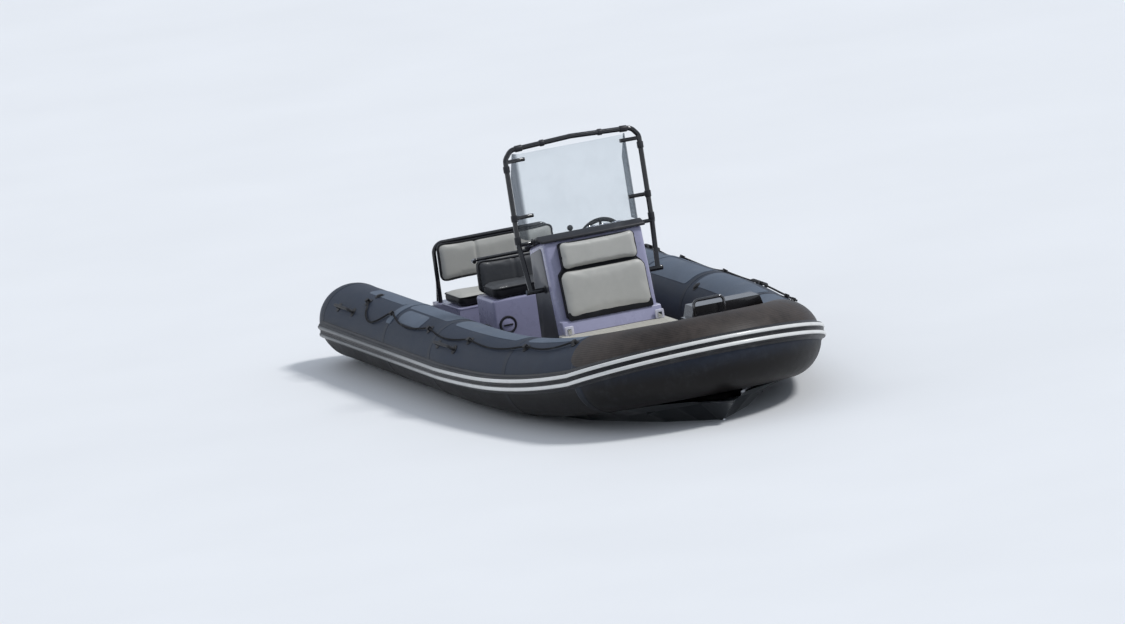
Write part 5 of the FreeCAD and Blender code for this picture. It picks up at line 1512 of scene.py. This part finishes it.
@dataclass
class Helm:
    """Faces, rings and marks for the dials, and a hub cap for the wheel, whose rake is in degrees."""

    rake: float = 20.0

    def build(self) -> None:
        """Builds the helm's trim."""
        low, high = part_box("dials")
        radius = (high.x - low.x) / 2
        count = 3
        pitch = ((high.y - low.y) - 2 * radius) / (count - 1)
        faces, rings, marks = Surface(), Surface(), Surface()
        for i in range(count):
            centre = np.array([(low.x + high.x) / 2, low.y + radius + i * pitch, high.z])
            spun(rings, [(0.030, -0.001), (0.040, -0.001), (0.042, 0.002), (0.040, 0.004), (0.036, 0.004),
                         (0.034, 0.001)], centre, (0, 0, 1), 40)
            spun(faces, [(0.0345, -0.002), (0.0345, 0.0012), (0.001, 0.0014)], centre, (0, 0, 1), 40)
            for step in range(11):
                turn = math.radians(-130 + 26 * step)
                way = np.array([math.cos(turn), math.sin(turn), 0.0])
                lift = np.array([0.0, 0.0, 0.0018])
                rod(marks, np.array([centre + way * 0.025 + lift, centre + way * 0.031 + lift]), 0.0008, 6)
            way = np.array([math.cos(i * 0.9 - 1.6), math.sin(i * 0.9 - 1.6), 0.0])
            lift = np.array([0.0, 0.0, 0.0026])
            rod(marks, np.array([centre - way * 0.006 + lift, centre + way * 0.026 + lift]), 0.0011, 6)
            spun(marks, [(0.004, 0.001), (0.004, 0.0038), (0.001, 0.0042)], centre, (0, 0, 1), 12)
        marks.piece("dial_marks", Palette.RUBBER)
        faces.piece("dial_faces", Palette.PALE)
        rings.piece("dial_rings", Palette.STEEL)
        axis = (-math.cos(math.radians(self.rake)), 0.0, math.sin(math.radians(self.rake)))
        low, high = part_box("steering_wheel")
        centre = tuple((Vector(low) + Vector(high)) / 2 + Vector(axis) * 0.03)
        cap = spun(Surface(), [(0.036, -0.02), (0.036, 0.0), (0.030, 0.008), (0.002, 0.010)], centre, axis, 32)
        cap.piece("wheel_hub_cap", Palette.STEEL, "steering_wheel")


# Seats -------------------------------------------------------------------------------------------


@dataclass
class Seats:
    """Helm seat on its pod, and the trim of the aft bench over the engine."""

    pod_front: float = -0.840
    pod_back: float = -1.180
    pod_half: float = 0.420
    pod_top: float = 0.500
    deck: float = DECK_TOP

    def build(self) -> None:
        """Builds both seats."""
        self.pod()
        self.helm_cushions()
        self.bench()

    def pod(self) -> None:
        """Moulded pod with a recessed toe and two round hatches."""
        back, front, toe = self.pod_back, self.pod_front, 0.05
        side = [(back, self.deck), (front - toe, self.deck), (front - toe, self.deck + toe),
                (front, self.deck + 2 * toe), (front, self.pod_top), (back, self.pod_top)]
        shell = block(Surface(), side, 0.02, -self.pod_half, self.pod_half, Plane.SIDE, 0.022)
        shell.piece("pod_shell", Palette.GELCOAT, replaces=("helm_seat_pod",))
        rings, lids, grips = Surface(), Surface(), Surface()
        low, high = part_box("pod_hatches")
        z = (low.z + high.z) / 2
        radius = (high.z - low.z) / 2
        for y in (low.y + radius, high.y - radius):
            centre = (front, y, z)
            spun(rings, [(radius - 0.016, 0.001), (radius, 0.001), (radius, 0.007), (radius - 0.004, 0.012),
                         (radius - 0.012, 0.012), (radius - 0.016, 0.007)], centre, (1, 0, 0), 48)
            spun(lids, [(radius - 0.016, 0.0005), (radius - 0.016, 0.007), (radius - 0.02, 0.009), (0.001, 0.009)],
                 centre, (1, 0, 0), 48)
            block(grips, rectangle(y - 0.034, y + 0.034, z - 0.006, z + 0.006), 0.005, front + 0.008, front + 0.014,
                  Plane.FRONT, 0.002, 3)
        rings.piece("hatch_rings", Palette.PLASTIC, replaces=("pod_hatches",))
        lids.piece("hatch_lids", Palette.GELCOAT)
        grips.piece("hatch_grips", Palette.PLASTIC)

    def helm_cushions(self) -> None:
        """Seat cushion and low backrest of the helm seat."""
        Cushion.over("helm_seat_pad", "helm_seat_cushion", False, Palette.VINYL_DARK, swell=0.014, rim_depth=0.02)
        Cushion.over("helm_back_pad", "helm_backrest", True, Palette.VINYL_DARK)

    def bench(self) -> None:
        """The engine box's lid and louvres, and the bench's cushion and backrest."""
        low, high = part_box("engine_lid")
        lid = block(Surface(), rectangle(low.x, high.x, low.y, high.y), 0.012, low.z, high.z, Plane.TOP, 0.005)
        lid.piece("bench_lid", Palette.GELCOAT, "engine_lid", ("engine_lid",))
        louvres("engine_box_vents", (-1.86, -1.70), 0.451, [0.17 + row * 0.024 for row in range(4)], 0.013)
        Cushion.over("bench_seat_pad", "bench_cushion", False, Palette.VINYL, body="engine_lid", swell=0.013)
        Cushion.over("bench_back_pad", "bench_backrest", True, Palette.VINYL, piping=0.007)


# Bow ---------------------------------------------------------------------------------------------


@dataclass
class Bow:
    """The locker's lid, the step and the deck's treads."""

    def build(self) -> None:
        """Builds the bow's mouldings and the deck's treads."""
        self.locker()
        self.treads()

    def treads(self) -> None:
        """Non-slip panels on the deck: two walkways, the helm's footwell and the bow's."""
        surface = Surface()
        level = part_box("deck")[1].z
        for aft, fore, low, high in ((-0.76, 0.28, 0.395, 0.60), (-0.76, 0.28, -0.60, -0.395),
                                     (-0.80, -0.18, -0.35, 0.35), (0.93, 1.37, -0.40, 0.40)):
            block(surface, rectangle(aft, fore, low, high), 0.04, level - 0.003, level + 0.002, Plane.TOP, 0.0015)
        surface.piece("deck_treads", Palette.TREAD)

    def locker(self) -> None:
        """Locker lid with its tread, and the step."""
        low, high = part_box("bow_locker_lid")
        half_fore = 0.3111
        outline = [(low.x, low.y), (high.x, -half_fore), (high.x, half_fore), (low.x, high.y)]
        lid = block(Surface(), outline, 0.02, low.z, high.z, Plane.TOP, 0.009)
        lid.piece("locker_lid_skin", Palette.PLASTIC, "locker_lid", ("bow_locker_lid",))
        tread = [(low.x + 0.05, low.y + 0.06), (high.x - 0.05, -half_fore + 0.05), (high.x - 0.05, half_fore - 0.05),
                 (low.x + 0.05, high.y - 0.06)]
        panel = block(Surface(), tread, 0.03, high.z - 0.001, high.z + 0.002, Plane.TOP, 0.001)
        panel.piece("locker_lid_tread", Palette.TREAD, "locker_lid")
        low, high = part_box("bow_step")
        outline = [(low.x, low.y), (high.x, -0.1819), (high.x, 0.1819), (low.x, high.y)]
        step = block(Surface(), outline, 0.02, low.z, high.z, Plane.TOP, 0.01)
        step.piece("bow_step_skin", Palette.PLASTIC, replaces=("bow_step",))


# Lines -------------------------------------------------------------------------------------------


@dataclass
class GrabLines:
    """Twisted line along each side of the collar.

    Its route is the one that the solids have: through a lug at each share of the run to the bow pad, and down to
    the lowest angle of a bight between each pair.
    """

    collar: TubeLine
    lugs: tuple[tuple[float, float], ...] = ((0.159, 62), (0.293, 56), (0.481, 53), (0.656, 56), (0.847, 60),
                                             (0.984, 65))
    bights: tuple[float, ...] = (30, 42, 46, 50, 54)
    off: float = 0.013
    radius: float = 0.007
    reach: float = 0.030
    pitch: float = 0.055

    def route(self) -> Array:
        """Works out the route on the starboard side.

        Returns:
            Its points from the stern forward.
        """
        line = self.collar
        whole = line.half - PAD_HALF
        out = line.radius + self.off
        points = []
        for index, (share, angle) in enumerate(self.lugs):
            middle = share * whole
            centre = line.on(middle, math.radians(angle), out)
            ahead = unit(line.take(line.way, np.array(middle)))
            points += [centre - ahead * self.reach, centre + ahead * self.reach]
            if index < len(self.bights):
                (next_share, next_angle), low = self.lugs[index + 1], self.bights[index]
                span = (next_share - share) * whole
                for part_way, height in ((0.24, (angle + 2 * low) / 3), (0.5, low),
                                         (0.76, (next_angle + 2 * low) / 3)):
                    points.append(line.on(middle + span * part_way, math.radians(height), out))
        return np.array(points)

    def build(self) -> None:
        """Three strands wound round the spline of the route, on both sides."""
        data = bpy.data.curves.new("line_route", "CURVE")
        data.dimensions = "3D"
        data.resolution_u = 10
        spline = data.splines.new("NURBS")
        route = self.route()
        spline.points.add(len(route) - 1)
        spline.points.foreach_set("co", np.column_stack([route, np.ones(len(route))]).ravel())
        spline.order_u = 3
        spline.use_endpoint_u = True
        holder = linked("line_route", data)
        graph = bpy.context.evaluated_depsgraph_get()
        middle = coordinates(bpy.data.meshes.new_from_object(holder.evaluated_get(graph)))
        bpy.data.objects.remove(holder)
        length = lengths(middle)
        even = np.arange(0, length[-1], 0.009)
        path = np.stack([np.interp(even, length, middle[:, k]) for k in range(3)], axis=-1)
        ahead = unit(np.gradient(path, axis=0))
        side = unit(np.cross(ahead, [0.0, 0.0, 1.0]))
        top = np.cross(side, ahead)
        surface = Surface()
        for strand in range(3):
            phase = even / self.pitch * TURN + strand * TURN / 3
            way = np.cos(phase)[:, None] * side + np.sin(phase)[:, None] * top
            rod(surface, path + way * self.radius * 0.46, self.radius * 0.56, 7)
        surface.mirrored()
        surface.piece("side_lines", Palette.ROPE, replaces=("grab_lines",))


# Skins -------------------------------------------------------------------------------------------


@dataclass(frozen=True)
class Skin:
    """A smooth copy of a solid whose own shape is already right."""

    node: str
    finish: Finish | ClearSheet
    body: str = "boat"
    sharp: float = 32.0
    merge: float = 0.00002
    flat: float = 0.004

    def build(self) -> None:
        """Merges a copy's points, joins its flat triangles, shades it smooth and puts it in the solid's place."""
        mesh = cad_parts[self.node].data.copy()
        mesh.name = self.node + "_skin"
        with reworked(mesh) as work:
            bmesh.ops.remove_doubles(work, verts=work.verts, dist=self.merge)
            bmesh.ops.dissolve_limit(work, angle_limit=self.flat, verts=work.verts, edges=work.edges)
            bmesh.ops.recalc_face_normals(work, faces=work.faces)
        shade_smooth(mesh)
        mesh.set_sharp_from_angle(angle=math.radians(self.sharp))
        settle(linked(mesh.name, mesh), self.finish, self.body, (self.node,))


SKINS = (
    Skin("hull", Palette.HULL), Skin("transom_wall", Palette.HULL), Skin("deck", Palette.DECK),
    Skin("engine_box", Palette.GELCOAT), Skin("bow_locker", Palette.PLASTIC), Skin("rail", Palette.BAR),
    Skin("helm_seat_handle", Palette.BAR), Skin("backrest_frame", Palette.BAR),
    Skin("windscreen", Palette.CLEAR), Skin("helm_bezel", Palette.PLASTIC), Skin("dials", Palette.RUBBER),
    Skin("throttle", Palette.RUBBER), Skin("bow_case", Palette.BAR), Skin("line_lugs", Palette.RUBBER),
    Skin("steering_wheel", Palette.RUBBER, "steering_wheel"), Skin("carry_handles", Palette.RUBBER),
    Skin("bow_bar", Palette.DARK_STEEL), Skin("bow_eye", Palette.STEEL), Skin("stern_eyes", Palette.STEEL),
    Skin("engine_block", Palette.ENGINE), Skin("transom_shield", Palette.DRIVE),
    Skin("steering_ring", Palette.DRIVE, "steering_ring"), Skin("drive_leg", Palette.DRIVE, "drive_leg"),
    Skin("propeller", Palette.PROP, "propeller"),
)


# Stage -------------------------------------------------------------------------------------------


@dataclass
class Studio:
    """Floor at the waterline, soft lights and the camera."""

    turn: float = 18.3967
    raise_: float = 9.5846
    roll: float = 7.8042
    distance: float = 80.0
    per_metre: float = 150.0
    middle: tuple[float, float] = (596.793, 336.0384)
    frame_size: tuple[int, int] = (1125, 624)
    target: Point = (0.0, 0.0, 0.28)
    reach: float = 60.0

    def build(self) -> None:
        """Builds the floor, the lights, the world and the camera."""
        self.camera()
        self.floor()
        self.lights()

    def camera(self) -> None:
        """A long lens at the photograph's angle: right and up are turned by the roll about the view line."""
        turn, raise_, roll = (math.radians(v) for v in (self.turn, self.raise_, self.roll))
        out = Vector((math.cos(raise_) * math.cos(turn), -math.cos(raise_) * math.sin(turn), math.sin(raise_)))
        level = Vector((0, 0, 1)).cross(out).normalized()
        top = out.cross(level)
        right = level * math.cos(roll) - top * math.sin(roll)
        up = level * math.sin(roll) + top * math.cos(roll)
        width, height = self.frame_size
        aim = Vector(self.target) - right * ((self.middle[0] - width / 2) / self.per_metre)
        aim += up * ((self.middle[1] - height / 2) / self.per_metre)
        data = bpy.data.cameras.new("camera")
        data.sensor_width = 36.0
        data.lens = self.per_metre * self.distance * data.sensor_width / width
        data.clip_end = 400
        made = linked("camera", data)
        made.location = aim + out * self.distance
        made.rotation_euler = Matrix((right, up, out)).transposed().to_euler()
        bpy.context.scene.camera = made

    def floor(self) -> None:
        """A plain pale floor at the waterline."""
        mesh = bpy.data.meshes.new("floor")
        corners = [(x, y, 0.0) for x, y in rectangle(-self.reach, self.reach, -self.reach, self.reach)]
        mesh.from_pydata(corners, [], [[0, 1, 2, 3]])
        graph = Graph("floor")
        tone = graph.noise(graph.place(), 0.6, 2.0)
        colour = graph.mix(tone, (0.74, 0.75, 0.76, 1), (0.80, 0.81, 0.82, 1))
        mesh.materials.append(graph.finish({"Base Color": colour, "Roughness": 0.6}))
        linked("floor", mesh)

    def lights(self) -> None:
        """A broad sun from the upper left, a weaker fill, and a pale world."""
        for name, angle, energy, spread in (("key", (38, 0, 150), 2.1, 12), ("fill", (60, 0, -40), 0.5, 60)):
            data = bpy.data.lights.new(name, "SUN")
            data.energy = energy
            data.angle = math.radians(spread)
            linked(name, data).rotation_euler = tuple(math.radians(v) for v in angle)
        world = bpy.data.worlds.new("studio")
        world.use_nodes = True
        sky = world.node_tree.nodes["Background"].inputs
        sky["Color"].default_value = (0.62, 0.68, 0.78, 1.0)
        sky["Strength"].default_value = 0.75
        bpy.context.scene.world = world
        bpy.context.scene.view_settings.view_transform = "Standard"


def main() -> None:
    """Builds the boat and the stage."""
    logging.basicConfig(level=logging.INFO, format="%(name)s %(message)s")
    collar = Collar()
    collar.build()
    Console().build()
    RailTrim().build()
    Helm().build()
    Seats().build()
    Bow().build()
    GrabLines(collar.line).build()
    for skin in SKINS:
        skin.build()
    Studio().build()


if __name__ == "__main__":
    main()
